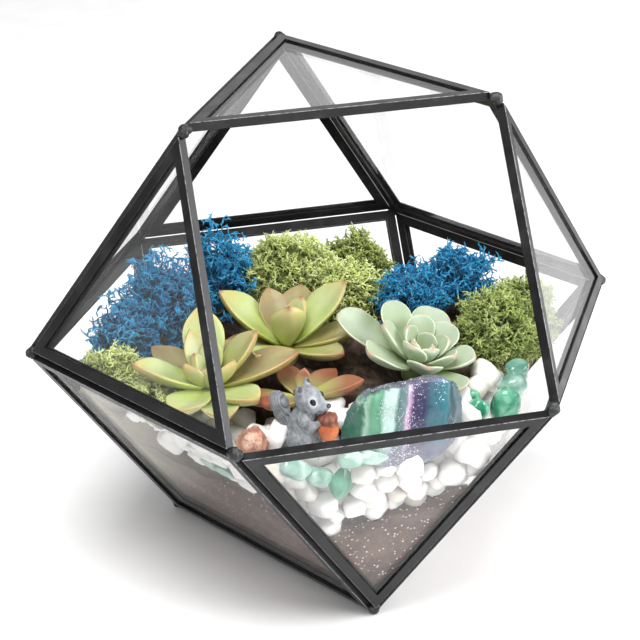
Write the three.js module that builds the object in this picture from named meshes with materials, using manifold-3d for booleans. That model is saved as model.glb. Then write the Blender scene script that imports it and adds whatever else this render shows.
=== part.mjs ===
// Geometric glass terrarium: a cuboctahedron of glass panes in soldered metal came, with one open square
// at the front, planted with succulents and reindeer moss over soil and white pebbles.
// Millimetres, +Z up. It stands on its base triangle, centred on the Z axis, with the opening towards -Y.
import * as THREE from 'three';
import { mergeVertices } from 'three/addons/utils/BufferGeometryUtils.js';
import Module from 'manifold-3d';

const wasm = await Module();
wasm.setup();

// ---- driving dimensions ----

const edge = 115; // every edge of the cuboctahedron, 4.5 in
const clearance = 0.3; // gap kept between pieces that touch

const cameThickness = 3.4; // across the folded channel, square to the pane
const cameFace = 3.8; // how far the came covers the pane
const cameWall = 0.5; // sheet that the channel is folded from
const solderRadius = 3.3;
const solderInset = 2.7; // from the corner towards the middle of the vessel

const soilLevel = 50;
const bedLevel = 81;
const mix = { level: 87, fall: 18, fallFrom: 62, fallTo: 104, middleY: -8 }; // a mound, lower all round
const bedFront = { apexX: 6, apexY: -64, spread: 115, leftEnd: -82 }; // parabola where pebbles meet mix
const pebble = { radius: 4.8, spacing: 11, apart: 8.6, jitter: 1.4, flatness: 0.75 };
const pebbleCore = 4.2; // the bed's core lies this far behind its outermost pebbles
const sprig = { radius: 1.7, length: 8.5, sunk: 2, standOut: 6.5, area: 30 };
const leafGap = 0.6; // between the leaves of neighbouring plants

const colours = {
  came: 0x2f3033,
  glass: 0xdfe8ea,
  soil: 0x84716b,
  mix: 0x3a2d25,
  pebble: 0xf0eeeb,
  greenStone: 0x63a98c,
  roughStone: 0xa98676,
  fluorite: 0x6f7f93,
  squirrel: 0xa3a7ab,
  acorn: 0xd67a48,
  blueMoss: 0x176ba6,
  limeMoss: 0xa9bf62,
  oliveMoss: 0x6d8142,
  goldLeaf: 0xc3cd78,
  redLeaf: 0xc2704d,
  blueGreenLeaf: 0xa9cba0,
};

// ---- small helpers ----

const degrees = Math.PI / 180;
const golden = Math.PI * (3 - Math.sqrt(5));

function at(radius, angle, height) {
  return new THREE.Vector3(radius * Math.cos(angle * degrees), radius * Math.sin(angle * degrees), height);
}

function seeded(seed) {
  let state = seed;
  return () => {
    state = (state * 1664525 + 1013904223) % 4294967296;
    return state / 4294967296;
  };
}

// A closed three.js geometry as a solid that can be joined and cut.
function solidOf(geometry, matrix = new THREE.Matrix4()) {
  const plain = geometry.clone().applyMatrix4(matrix);
  plain.deleteAttribute('normal');
  plain.deleteAttribute('uv');
  const merged = mergeVertices(plain, 1e-4);
  const vertProperties = merged.getAttribute('position').array;
  return new wasm.Manifold(new wasm.Mesh({ numProp: 3, vertProperties, triVerts: merged.index.array }));
}

function geometryOf(solid) {
  const mesh = solid.getMesh();
  const geometry = new THREE.BufferGeometry();
  geometry.setAttribute('position', new THREE.BufferAttribute(mesh.vertProperties, 3));
  geometry.setIndex(new THREE.BufferAttribute(mesh.triVerts, 1));
  geometry.computeVertexNormals();
  return geometry;
}

function joined(solids) {
  return solids.reduce((whole, solid) => whole.add(solid));
}

// The largest of the bodies that a cut leaves; loose scraps are dropped.
function largest(solid) {
  return solid.decompose().reduce((best, body) => (body.volume() > best.volume() ? body : best));
}

function reshape(geometry, move) {
  const position = geometry.getAttribute('position');
  const point = new THREE.Vector3();
  for (let i = 0; i < position.count; i += 1) {
    move(point.fromBufferAttribute(position, i));
    position.setXYZ(i, point.x, point.y, point.z);
  }
  return geometry;
}

function ellipsoid(centre, radii, turn = new THREE.Euler(), detail = 1) {
  const matrix = new THREE.Matrix4().compose(centre, new THREE.Quaternion().setFromEuler(turn), radii);
  return solidOf(new THREE.IcosahedronGeometry(1, detail), matrix);
}

function part(name, geometry, colour, roughness, metalness = 0) {
  const material = new THREE.MeshStandardMaterial({ color: colour, roughness, metalness });
  const mesh = new THREE.Mesh(geometry, material);
  mesh.name = name;
  return mesh;
}

// ---- the vessel ----

const layerHeight = edge * Math.sqrt(2 / 3); // base triangle to the hexagon of corners, and on to the top
const middle = new THREE.Vector3(0, 0, layerHeight);
const triangleRadius = edge / Math.sqrt(3);

// Corners: A B C on top, D E F G H K round the middle, I J L on the base.
const corners = {
  A: at(triangleRadius, 90, 2 * layerHeight),
  B: at(triangleRadius, 210, 2 * layerHeight),
  C: at(triangleRadius, 330, 2 * layerHeight),
  D: at(edge, 180, layerHeight),
  E: at(edge, 240, layerHeight),
  F: at(edge, 300, layerHeight),
  G: at(edge, 0, layerHeight),
  H: at(edge, 60, layerHeight),
  K: at(edge, 120, layerHeight),
  I: at(triangleRadius, 270, 0),
  J: at(triangleRadius, 150, 0),
  L: at(triangleRadius, 30, 0),
};

// Glazed faces by their corners. The square B C F E is the opening and has no pane.
const faces = {
  top: 'ABC',
  base: 'ILJ',
  upper_left: 'BDE',
  upper_right: 'CFG',
  upper_back: 'AHK',
  lower_front: 'EIF',
  lower_right: 'GLH',
  lower_left: 'DKJ',
  roof_right: 'ACGH',
  roof_left: 'AKDB',
  hull_back: 'HLJK',
  hull_left: 'DJIE',
  hull_right: 'FILG',
};

// Neighbouring panes meet at 125.26 degrees, so square-edged cames stand back from the edge until their
// inner arrises meet, which leaves a V groove outside.
const foldAngle = Math.acos(-1 / Math.sqrt(3));
const setback = cameThickness / Math.tan(foldAngle / 2) + clearance * 0.6;

// Moves face coordinates into place: z = 0 is the outer surface, and the first corner lies on +X.
function facePlacement(letters) {
  const points = [...letters].map((letter) => corners[letter]);
  const centre = new THREE.Vector3();
  points.forEach((point) => centre.addScaledVector(point, 1 / points.length));
  const normal = centre.clone().sub(middle).normalize();
  const across = points[0].clone().sub(centre).normalize();
  return new THREE.Matrix4().makeBasis(across, normal.clone().cross(across), normal).setPosition(centre);
}

// A regular prism whose sides lie `inset` inside the face's edges.
function faceSlab(sides, inset, low, high) {
  const radius = (edge / 2 / Math.sin(Math.PI / sides)) - inset / Math.cos(Math.PI / sides);
  const outline = new THREE.Shape();
  for (let i = 0; i < sides; i += 1) {
    const angle = (2 * Math.PI * i) / sides;
    outline[i ? 'lineTo' : 'moveTo'](radius * Math.cos(angle), radius * Math.sin(angle));
  }
  return new THREE.ExtrudeGeometry(outline, { depth: high - low, bevelEnabled: false }).translate(0, 0, low);
}

// One pane's came: a mitred ring of U-channel, open towards the glass. A square's corners are nipped off,
// because the two squares at a corner stand at right angles, tip to tip.
function came(sides) {
  let ring = solidOf(faceSlab(sides, setback, -cameThickness, 0));
  if (sides === 4) {
    const reach = 2 * (edge * Math.SQRT1_2 - cameThickness - clearance);
    ring = ring.intersect(solidOf(new THREE.BoxGeometry(reach, reach, edge)));
  }
  const window = solidOf(faceSlab(sides, setback + cameFace, -cameThickness - 1, 1));
  const groove = solidOf(faceSlab(sides, setback + cameWall, cameWall - cameThickness, -cameWall));
  return ring.subtract(window).subtract(groove);
}

function pane(sides) {
  const reach = cameWall + clearance;
  return faceSlab(sides, setback + reach, reach - cameThickness, -reach);
}

// The space that a came takes up with its clearance, for cutting the solder that lies against it.
function cameEnvelope(letters) {
  const sides = letters.length;
  const ring = faceSlab(sides, setback - clearance, -cameThickness - clearance, clearance);
  const window = faceSlab(sides, setback + cameFace + clearance, -cameThickness - 1, 1);
  const placement = facePlacement(letters);
  return solidOf(ring, placement).subtract(solidOf(window, placement));
}

// A blob of solder over a corner, running down into the grooves between the cames.
function solderJoint(letter) {
  const corner = corners[letter];
  const centre = corner.clone().add(middle.clone().sub(corner).setLength(solderInset));
  const blob = solidOf(new THREE.IcosahedronGeometry(solderRadius, 0).translate(...centre.toArray()));
  const around = Object.values(faces).filter((letters) => letters.includes(letter)).map(cameEnvelope);
  const floor = solidOf(new THREE.BoxGeometry(4 * edge, 4 * edge, 20).translate(0, 0, -9.9));
  return largest(around.reduce((solid, envelope) => solid.subtract(envelope), blob).subtract(floor));
}

// A cuboctahedron is a cube cut by an octahedron. The cube's axes are the upper squares' normals.
const squareNormals = [270, 30, 150].map((angle) => at(Math.sqrt(2 / 3), angle, Math.sqrt(1 / 3)));
const squareDistance = edge * Math.SQRT1_2;
const triangleDistance = layerHeight;

function chamberInside(wall) {
  const placement = new THREE.Matrix4().makeBasis(...squareNormals).setPosition(middle);
  const side = 2 * (squareDistance - wall);
  const cube = solidOf(new THREE.BoxGeometry(side, side, side), placement);
  const octahedron = new THREE.OctahedronGeometry((triangleDistance - wall) * Math.sqrt(3));
  return cube.intersect(solidOf(octahedron, placement));
}

// How far a point lies inside the vessel's outer surface.
function depthInside(point) {
  const away = point.clone().sub(middle);
  const along = squareNormals.map((normal) => Math.abs(away.dot(normal)));
  const corner = (along[0] + along[1] + along[2]) / Math.sqrt(3);
  return Math.min(squareDistance - Math.max(...along), triangleDistance - corner);
}

const lining = cameThickness + clearance; // the filling stays this far inside the outer surface
const chamber = chamberInside(lining);

// ---- soil, planting mix and pebbles ----

function soilHeight(x, y) {
  return soilLevel + 2.2 * Math.sin(x / 19) + 1.6 * Math.cos(y / 23 + 0.6) + Math.min(0, x + 10) * 0.06;
}

function mixHeight(x, y) {
  const fromMiddle = Math.hypot(x, y - mix.middleY);
  const fall = mix.fall * THREE.MathUtils.smoothstep(fromMiddle, mix.fallFrom, mix.fallTo);
  return mix.level - fall + 0.6 * Math.sin(x / 9) * Math.cos(y / 8);
}

function bedFrontAt(x) {
  return bedFront.apexY + (x - bedFront.apexX) ** 2 / bedFront.spread;
}

// Everything below a surface z = height(x, y).
function ground(height, steps) {
  const block = new THREE.BoxGeometry(2 * edge, 2 * edge, 2, steps, steps, 1);
  return solidOf(reshape(block, (point) => {
    point.z = point.z > 0 ? height(point.x, point.y) : -10;
  }));
}

// Plan of the planting mix: all of the vessel behind the parabola, and its left corner.
function mixPlan(grow) {
  const reach = 1.2 * edge;
  const start = bedFront.leftEnd + grow;
  const slope = (2 * (start - bedFront.apexX)) / bedFront.spread;
  const outline = new THREE.Shape();
  outline.moveTo(-reach, reach);
  outline.lineTo(-reach, -reach);
  outline.lineTo(start, -reach);
  outline.lineTo(start, bedFrontAt(start) - grow);
  outline.quadraticCurveTo(
    (start + reach) / 2,
    bedFrontAt(start) - grow + (slope * (reach - start)) / 2,
    reach,
    bedFrontAt(reach) - grow,
  );
  outline.lineTo(reach, reach);
  const settings = { depth: 2 * edge, bevelEnabled: false, curveSegments: 12 };
  return solidOf(new THREE.ExtrudeGeometry(outline, settings).translate(0, 0, -20));
}

const mixSteps = 11; // cells along each side of a ground surface
const soilSteps = 9;
const soilRaised = ground((x, y) => soilHeight(x, y) + clearance, soilSteps);

function fineSoil() {
  return chamber.intersect(ground(soilHeight, soilSteps));
}

function plantingMix(planted) {
  const mound = chamber.intersect(ground(mixHeight, mixSteps)).intersect(mixPlan(0)).subtract(soilRaised);
  return largest(planted.reduce((solid, plant) => solid.subtract(plant), mound));
}

// Whether a point lies in the pebble bed, at least `margin` inside its sides.
function inBed(point, margin) {
  return depthInside(point) > lining + margin
    && point.z < bedLevel
    && point.z > soilHeight(point.x, point.y) + margin
    && point.y < bedFrontAt(point.x) - margin
    && point.x > bedFront.leftEnd + margin;
}

// Pebbles laid in rows against the panes round the bed and over its top, as { place, size }.
function pebblePlaces(random) {
  const jitter = () => (random() - 0.5) * 2 * pebble.jitter;
  const top = new THREE.Matrix4().makeTranslation(0, 0, bedLevel + lining);
  const sheets = ['lower_front', 'hull_left', 'hull_right'].map((name) => facePlacement(faces[name]));
  const row = pebble.spacing * Math.sin(Math.PI / 3);
  const rows = Math.ceil(edge / row);
  const laid = [];
  for (const sheet of [top, ...sheets]) {
    for (let j = -rows; j <= rows; j += 1) {
      for (let i = -rows; i <= rows; i += 1) {
        const size = pebble.radius * (0.85 + 0.3 * random());
        const place = new THREE.Vector3(
          (i + (j % 2) / 2) * pebble.spacing + jitter(),
          j * row + jitter(),
          -lining - size * 0.8,
        ).applyMatrix4(sheet);
        const free = laid.every((other) => other.place.distanceTo(place) > pebble.apart);
        if (free && inBed(place, size * 0.75)) {
          laid.push({ place, size });
        }
      }
    }
  }
  return laid;
}

// White pebbles: a core, and pebbles sunk in it wherever the bed meets the glass or the air.
function pebbleBed(setIn) {
  const core = chamberInside(lining + pebbleCore)
    .intersect(ground(() => bedLevel - pebbleCore, 1))
    .subtract(mixPlan(pebbleCore / 2))
    .subtract(ground((x, y) => soilHeight(x, y) + pebbleCore / 2, soilSteps));
  const random = seeded(11);
  const pebbles = pebblePlaces(random).map(({ place, size }) => {
    const turn = new THREE.Euler(random() * 3, random() * 3, random() * 3);
    return ellipsoid(place, new THREE.Vector3(size, size * 0.86, size * pebble.flatness), turn, 0);
  });
  const bed = joined([core, ...pebbles]).intersect(chamber).subtract(mixPlan(clearance)).subtract(soilRaised);
  return largest(setIn.reduce((solid, thing) => solid.subtract(thing), bed));
}

// ---- stones, crystal and figurine ----

// Stones are lists of [x, y, z, radius x, y, z, turn about Z].
const greenStones = {
  green_stone_drop: [[-19, -83.6, 72, 4, 3, 5.8, 0]],
  green_stones_front: [[-33, -84, 80, 5.5, 3, 3.6, -12], [-27, -83.5, 77, 4.6, 3.2, 3.8, 20]],
  green_stone_middle: [[-14.5, -84.4, 79.5, 3.4, 2.8, 3.2, 0]],
  green_stones_right: [[44, -61, 84.5, 4.2, 3.8, 3.6, 30], [50.5, -59, 85, 5, 4.2, 5, -20],
    [55.5, -54, 86, 4.8, 4.4, 4.6, 45]],
};

function stones(list, grow) {
  return joined(list.map(([x, y, z, rx, ry, rz, turn]) => ellipsoid(
    new THREE.Vector3(x, y, z),
    new THREE.Vector3(rx + grow, ry + grow, rz + grow),
    new THREE.Euler(0, 0, turn * degrees),
  )));
}

const roughStones = [[-47, -78, 87.5, 4.6, 4.4, 6, 20], [-44.5, -75.5, 85, 5.4, 5, 4.8, -30]];

// Banded crystal block: the polished front face is upright, towards -Y.
const crystal = { frontY: -86, depth: 13, bevel: 1.4 };

function crystalBlock(grow) {
  const outline = new THREE.Shape();
  outline.moveTo(-9.5, 73);
  outline.lineTo(-10.5, 88);
  outline.lineTo(-8, 98);
  outline.quadraticCurveTo(-4, 102.5, 9, 103.5);
  outline.lineTo(21, 103);
  outline.quadraticCurveTo(29, 101, 30, 92);
  outline.lineTo(29, 79);
  outline.quadraticCurveTo(20, 71, 6, 70);
  const settings = {
    depth: crystal.depth - 2 * crystal.bevel + 2 * grow,
    bevelThickness: crystal.bevel,
    bevelSize: crystal.bevel + grow,
    bevelOffset: -crystal.bevel,
    bevelSegments: 1,
    curveSegments: 4,
  };
  const block = new THREE.ExtrudeGeometry(outline, settings);
  block.rotateX(Math.PI / 2).translate(0, crystal.frontY + crystal.depth - crystal.bevel + grow, 0);
  return solidOf(block);
}

// The figurine in its own frame: feet at z = 0, facing +X. [x, y, z, radii, pitch about Y]
const figurine = { x: -28, y: -77, z: 80.4, facing: -38 };
const squirrelForms = [
  [0, 0, 8, 5.6, 5, 8, 0], // body
  [-0.5, 2.8, 4.6, 5, 3, 4.6, 0], // haunches
  [-0.5, -2.8, 4.6, 5, 3, 4.6, 0],
  [3.8, 2.6, 1.3, 3.4, 1.7, 1.4, 0], // feet
  [3.8, -2.6, 1.3, 3.4, 1.7, 1.4, 0],
  [2.6, 0, 18.4, 5.6, 4.8, 4.8, 8], // head
  [7.2, 0, 17, 3, 2.4, 2.2, 12], // muzzle
  [0.2, 3.2, 23.4, 1.1, 1.6, 2.8, -10], // ears
  [0.2, -3.2, 23.4, 1.1, 1.6, 2.8, -10],
  [4.2, 3, 11.6, 4, 1.7, 1.8, 2], // arms
  [4.2, -3, 11.6, 4, 1.7, 1.8, 2],
  [-6.2, 0, 3.4, 3.6, 2.8, 3, 0], // tail, curling up behind the back
  [-8.4, 0, 8.6, 3.2, 2.9, 5.2, -8],
  [-9, 0, 15, 4, 3.4, 4.2, 15],
];
const acornForms = [
  [9.4, 0, 9.6, 3.4, 3.4, 4.2, 0], // nut
  [9, 0, 13, 3.6, 3.6, 2, -8], // cup
];

function figure(forms, grow) {
  const place = new THREE.Matrix4().makeRotationZ(figurine.facing * degrees);
  place.setPosition(figurine.x, figurine.y, figurine.z);
  return joined(forms.map(([x, y, z, rx, ry, rz, pitch]) => {
    const radii = new THREE.Vector3(rx + grow, ry + grow, rz + grow);
    const lean = new THREE.Quaternion().setFromEuler(new THREE.Euler(0, pitch * degrees, 0));
    const form = new THREE.Matrix4().compose(new THREE.Vector3(x, y, z), lean, radii);
    return solidOf(new THREE.SphereGeometry(1, 6, 4), form.premultiply(place));
  }));
}

// ---- succulents ----

// Width along a leaf, from 0 at the stem to 1 at the tip.
function pointedLeaf(s) {
  return Math.sin(Math.PI * Math.min(1, 0.16 + 0.84 * s) ** 0.85) ** 0.8;
}

function spoonLeaf(s) {
  const widest = 0.7;
  if (s < widest) {
    return 0.42 + 0.58 * Math.sin((s / widest) * (Math.PI / 2));
  }
  return Math.sqrt(Math.max(0, 1 - ((s - widest) / (1 - widest)) ** 2));
}

// A thick leaf: a four-sided cone bent along a rising arc, with its edges folded up above a low ridge, and
// a keel below. A grown leaf has its trough filled, so that it clears the leaf by `grow` all round.
function leaf({ azimuth, rise, length, width, thickness, curl, profile, foot }, grow) {
  const cone = new THREE.CylinderGeometry(0, 1, 1, 4, 4);
  const start = rise - curl / 2;
  reshape(cone, (point) => {
    const ring = Math.max(1e-6, 0.5 - point.y);
    const s = 1 - ring ** 1.6; // rings crowd towards the tip
    const [across, up] = [point.z / ring, point.x / ring];
    const angle = (start + curl * s) * degrees;
    const bend = (start + (curl * s) / 2) * degrees;
    const along = foot + (length + 2 * grow - foot) * s;
    const halfThickness = (thickness / 2) * Math.sqrt(profile(s));
    const fold = 0.12 * width * profile(s);
    const ridge = grow > 0 ? Math.max(0.6 * halfThickness, fold) + grow : 0.6 * halfThickness;
    const keel = 1.4 * halfThickness + 2 * grow;
    const lift = up * (up > 0 ? ridge : keel) + fold * across * across;
    point.set(
      along * Math.cos(bend) - lift * Math.sin(angle),
      across * ((profile(s) * width) / 2 + grow),
      along * Math.sin(bend) + lift * Math.cos(angle),
    );
  });
  return solidOf(cone, new THREE.Matrix4().makeRotationZ(azimuth * degrees));
}

function rosette({ centre, tilt, tiltTowards, stem, leaves }, grow = 0) {
  const foot = ellipsoid(new THREE.Vector3(0, 0, -stem.drop / 2), new THREE.Vector3(
    stem.radius + grow,
    stem.radius + grow,
    stem.drop / 2 + stem.rise + grow,
  ));
  const axis = at(1, tiltTowards + 90, 0);
  const turn = new THREE.Quaternion().setFromAxisAngle(axis, tilt * degrees);
  const place = new THREE.Matrix4().compose(new THREE.Vector3(...centre), turn, new THREE.Vector3(1, 1, 1));
  return joined([foot, ...leaves.map((one) => leaf(one, grow))]).transform(place.toArray());
}

// Pointed leaves as [azimuth, rise, length]; longer leaves are broader.
function goldLeaves(list) {
  return list.map(([azimuth, rise, length]) => ({
    azimuth,
    rise,
    length,
    width: length * 0.46 + 1,
    thickness: 3.2,
    curl: 12,
    profile: pointedLeaf,
    foot: 1.5,
  }));
}

const leftSucculent = {
  centre: [-50, -36, 91],
  tilt: 0,
  tiltTowards: 0,
  stem: { radius: 4, drop: 8, rise: 1.5 },
  leaves: goldLeaves([[187, 28, 32], [85, 50, 33], [5, 48, 28], [-12, 22, 34], [-62, 12, 28], [-136, 6, 31],
    [-90, 0, 30], [130, 20, 29], [52, 30, 22], [-150, 52, 17], [-40, 58, 17], [60, 66, 18], [-95, 66, 13]]),
};

const centreSucculent = {
  centre: [-20, -22, 93],
  tilt: 0,
  tiltTowards: 0,
  stem: { radius: 4, drop: 8, rise: 1.5 },
  leaves: goldLeaves([[146, 40, 34], [12, 40, 34], [64, 26, 32], [-132, 18, 27], [-14, 16, 33], [-52, 10, 29],
    [100, 52, 29], [-106, 62, 25], [172, 12, 23], [110, 14, 30], [-70, 74, 19], [30, 66, 20]]),
};

const redOffset = {
  centre: [-23, -54, 88.5],
  tilt: 0,
  tiltTowards: 0,
  stem: { radius: 3.4, drop: 6, rise: 1.2 },
  leaves: goldLeaves([[-150, 20, 20], [-20, 26, 24], [35, 14, 20], [-178, 10, 22], [100, 20, 18],
    [-95, 50, 13]]),
};

// Echeveria: leaves by the golden angle, long and low outside, short and upright at the heart.
const echeveriaLeafCount = 19;
const echeveria = {
  centre: [23, -45, 93.5],
  tilt: 20,
  tiltTowards: -50,
  stem: { radius: 5, drop: 9, rise: 2 },
  leaves: Array.from({ length: echeveriaLeafCount }, (_, i) => {
    const inward = i / (echeveriaLeafCount - 1);
    return {
      azimuth: 150 + (i * golden) / degrees,
      rise: 14 + 60 * inward,
      length: 29 - 18 * inward,
      width: 17 - 10 * inward,
      thickness: 2.6,
      curl: 22,
      profile: spoonLeaf,
      foot: 1.5,
    };
  }),
};

// ---- moss ----

// Clumps as lists of lumps [x, y, z, radius x, y, z], measured to the sprig tips.
const mossClumps = {
  moss_blue_left: {
    colour: colours.blueMoss,
    lumps: [[-56, 7, 102, 19, 18, 24], [-74, -8, 98, 16, 15, 17], [-38, 18, 107, 17, 15, 22]],
  },
  moss_blue_right: { colour: colours.blueMoss, lumps: [[33, -5, 99, 15, 14, 17], [54, 2, 103, 17, 14, 19]] },
  moss_lime_centre: {
    colour: colours.limeMoss,
    lumps: [[-9, 21, 103, 21, 17, 20], [9, 4, 98, 15, 15, 17]],
  },
  moss_olive_back: { colour: colours.oliveMoss, lumps: [[23, 34, 98, 17, 14, 19]] },
  moss_lime_right: {
    colour: colours.limeMoss,
    lumps: [[57, -34, 95, 18, 15, 20], [73, -21, 94, 14, 13, 21]],
  },
  moss_lime_left: {
    colour: colours.limeMoss,
    lumps: [[-84, -28, 90, 16, 15, 14], [-74, -41, 89, 16, 14, 13]],
  },
};

function lumpSolid([x, y, z, rx, ry, rz], inset, factor = 1) {
  const radii = new THREE.Vector3(rx - inset, ry - inset, rz - inset).multiplyScalar(factor);
  return ellipsoid(new THREE.Vector3(x, y, z), radii);
}

// Sprigs stand out evenly all round a lump, their roots sunk in its smaller core.
function lumpSprigs([x, y, z, rx, ry, rz], random) {
  const count = Math.round((rx * ry + ry * rz + rz * rx) / sprig.area);
  const sprigs = [];
  for (let i = 0; i < count; i += 1) {
    const height = 1 - (2 * (i + 0.5)) / count;
    const round = Math.sqrt(1 - height * height);
    const out = new THREE.Vector3(round * Math.cos(i * golden), round * Math.sin(i * golden), height);
    const tip = out.clone().multiply(new THREE.Vector3(rx, ry, rz));
    const lean = new THREE.Vector3(random() - 0.5, random() - 0.5, random() - 0.5).multiplyScalar(0.7);
    const direction = out.clone().add(lean).normalize();
    const length = sprig.length + sprig.sunk;
    const cone = new THREE.ConeGeometry(sprig.radius, length, 3).translate(0, -length / 2, 0);
    const turn = new THREE.Quaternion().setFromUnitVectors(new THREE.Vector3(0, 1, 0), direction);
    const place = new THREE.Vector3(x, y, z).add(tip.multiplyScalar(0.93 + 0.07 * random()));
    sprigs.push(solidOf(cone, new THREE.Matrix4().compose(place, turn, new THREE.Vector3(1, 1, 1))));
  }
  return sprigs;
}

function mossClump(lumps, seed, obstacles) {
  const random = seeded(seed);
  const cores = lumps.map((lump) => lumpSolid(lump, sprig.standOut));
  const whole = joined([...cores, ...lumps.flatMap((lump) => lumpSprigs(lump, random))]);
  return largest(obstacles.reduce((solid, obstacle) => solid.subtract(obstacle), whole.intersect(chamber)));
}

// ---- assembly ----

const terrarium = new THREE.Group();

for (const [name, letters] of Object.entries(faces)) {
  const place = new THREE.Group();
  place.applyMatrix4(facePlacement(letters));
  place.add(part(`came_${name}`, geometryOf(came(letters.length)), colours.came, 0.42, 0.8));
  place.add(part(`pane_${name}`, pane(letters.length), colours.glass, 0.05));
  terrarium.add(place);
}

for (const letter of Object.keys(corners)) {
  const name = `solder_${letter.toLowerCase()}`;
  terrarium.add(part(name, geometryOf(solderJoint(letter)), colours.came, 0.5, 0.7));
}

const rosettes = {
  succulent_left: [leftSucculent, colours.goldLeaf],
  succulent_centre: [centreSucculent, colours.goldLeaf],
  succulent_red_offset: [redOffset, colours.redLeaf],
  echeveria: [echeveria, colours.blueGreenLeaf],
};
const rosetteEnvelopes = Object.values(rosettes).map(([plant]) => rosette(plant, clearance));
const setPieces = [
  figure(squirrelForms, clearance),
  crystalBlock(clearance),
  stones(roughStones, clearance),
  ...Object.values(greenStones).map((list) => stones(list, clearance)),
];

terrarium.add(part('soil_fine', geometryOf(fineSoil()), colours.soil, 0.95));
const setIn = [...rosetteEnvelopes, ...setPieces];
terrarium.add(part('soil_planting_mix', geometryOf(plantingMix(setIn)), colours.mix, 0.95));
terrarium.add(part('pebble_bed', geometryOf(pebbleBed(setIn)), colours.pebble, 0.5));

for (const [name, list] of Object.entries(greenStones)) {
  terrarium.add(part(name, geometryOf(stones(list, 0).intersect(chamber)), colours.greenStone, 0.25));
}
terrarium.add(part('rough_stone', geometryOf(stones(roughStones, 0)), colours.roughStone, 0.9));
terrarium.add(part('fluorite', geometryOf(crystalBlock(0)), colours.fluorite, 0.2));
terrarium.add(part('squirrel', geometryOf(figure(squirrelForms, 0)), colours.squirrel, 0.6));
const acorn = figure(acornForms, 0).subtract(figure(squirrelForms, clearance));
terrarium.add(part('acorn', geometryOf(largest(acorn)), colours.acorn, 0.4));

const earlier = [];
for (const [name, [plant, colour]] of Object.entries(rosettes)) {
  const others = earlier.map((before) => rosette(before, leafGap));
  const solid = others.reduce((left, other) => left.subtract(other), rosette(plant).intersect(chamber));
  terrarium.add(part(name, geometryOf(largest(solid)), colour, 0.45));
  earlier.push(plant);
}

const belowMoss = [
  ground((x, y) => mixHeight(x, y) + clearance, mixSteps),
  ground(() => bedLevel + 4, 1).subtract(mixPlan(-clearance)),
];
const mossNeighbours = [];
let mossSeed = 1;
for (const [name, { colour, lumps }] of Object.entries(mossClumps)) {
  const obstacles = [...belowMoss, ...rosetteEnvelopes, ...setPieces, ...mossNeighbours];
  terrarium.add(part(name, geometryOf(mossClump(lumps, mossSeed, obstacles)), colour, 0.9));
  mossNeighbours.push(...lumps.map((lump) => lumpSolid(lump, -clearance, 1.07)));
  mossSeed += 1;
}

export default terrarium;
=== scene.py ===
import itertools
import math
import random

import bmesh
import bpy
import numpy as np
from mathutils import Matrix, Vector, kdtree, noise


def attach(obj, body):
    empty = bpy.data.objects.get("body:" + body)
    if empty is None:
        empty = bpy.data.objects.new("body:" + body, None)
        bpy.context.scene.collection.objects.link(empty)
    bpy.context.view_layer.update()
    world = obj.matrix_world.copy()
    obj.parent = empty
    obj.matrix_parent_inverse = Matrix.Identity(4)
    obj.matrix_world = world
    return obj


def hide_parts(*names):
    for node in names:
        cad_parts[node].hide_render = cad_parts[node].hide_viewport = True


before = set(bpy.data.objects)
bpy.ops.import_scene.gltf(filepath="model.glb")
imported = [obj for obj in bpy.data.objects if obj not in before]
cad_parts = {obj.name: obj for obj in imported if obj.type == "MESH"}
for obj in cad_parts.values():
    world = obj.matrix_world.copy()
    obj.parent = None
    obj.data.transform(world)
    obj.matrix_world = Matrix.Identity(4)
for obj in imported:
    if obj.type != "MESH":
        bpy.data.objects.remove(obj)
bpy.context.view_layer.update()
print("frame loaded:", len(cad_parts), "nodes")

mm = 0.001
golden = math.pi * (3 - math.sqrt(5))


def linear(hexColour):
    # sRGB hex to linear RGBA
    parts = [int(hexColour[i : i + 2], 16) / 255 for i in (1, 3, 5)]
    return tuple(p / 12.92 if p <= 0.04045 else ((p + 0.055) / 1.055) ** 2.4 for p in parts) + (1.0,)


def addNode(tree, kind, settings=None, into=None):
    # adds a shader node, feeds it into a socket if one is given, and returns its first output in use
    # a setting is a property of the node, or an input by name or number: a socket is linked, a hex is a colour
    # the stops of a colour ramp are (position, hex) pairs
    node = tree.nodes.new("ShaderNode" + kind)
    fed = {}
    for key, value in (settings or {}).items():
        if key == "stops":
            while len(node.color_ramp.elements) < len(value):
                node.color_ramp.elements.new(0.5)
            for element, (position, colour) in zip(node.color_ramp.elements, value):
                element.position, element.color = position, linear(colour)
        elif isinstance(key, str) and hasattr(node, key):
            setattr(node, key, value)
        else:
            fed[key] = value
    for key, value in fed.items():
        if isinstance(value, bpy.types.NodeSocket):
            tree.links.new(value, node.inputs[key])
        else:
            node.inputs[key].default_value = linear(value) if isinstance(value, str) else value
    output = next(socket for socket in node.outputs if socket.enabled)
    if into:
        tree.links.new(output, into)
    return output


def startMaterial(name, settings):
    # gives the material, its tree, the inputs of its surface and the place in the object that is shaded
    material = bpy.data.materials.new(name)
    material.use_nodes = True
    tree = material.node_tree
    surface = tree.nodes["Principled BSDF"].inputs
    for key, value in settings.items():
        surface[key].default_value = value
    return material, tree, surface, addNode(tree, "TexCoord").node.outputs["Object"]


def layered(tree, colour, coats, into=None):
    # lays coats over a colour: each is a driver, its values where the coat starts and is full, strength, colour
    for driver, start, full, strength, coat in coats:
        share = addNode(tree, "MapRange", {0: driver, 1: start, 2: full, 4: strength})
        colour = addNode(tree, "Mix", {"data_type": "RGBA", 0: share, 6: colour, 7: coat})
    if into:
        tree.links.new(colour, into)
    return colour


def mapParts(tree, name):
    # the three numbers that a piece's own map holds at each point
    attribute = addNode(tree, "Attribute", {"attribute_name": name})
    return addNode(tree, "SeparateXYZ", {0: attribute.node.outputs["Vector"]}).node.outputs


def meshFrom(bm, name):
    mesh = bpy.data.meshes.new(name)
    bm.to_mesh(mesh)
    bm.free()
    return mesh


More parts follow.
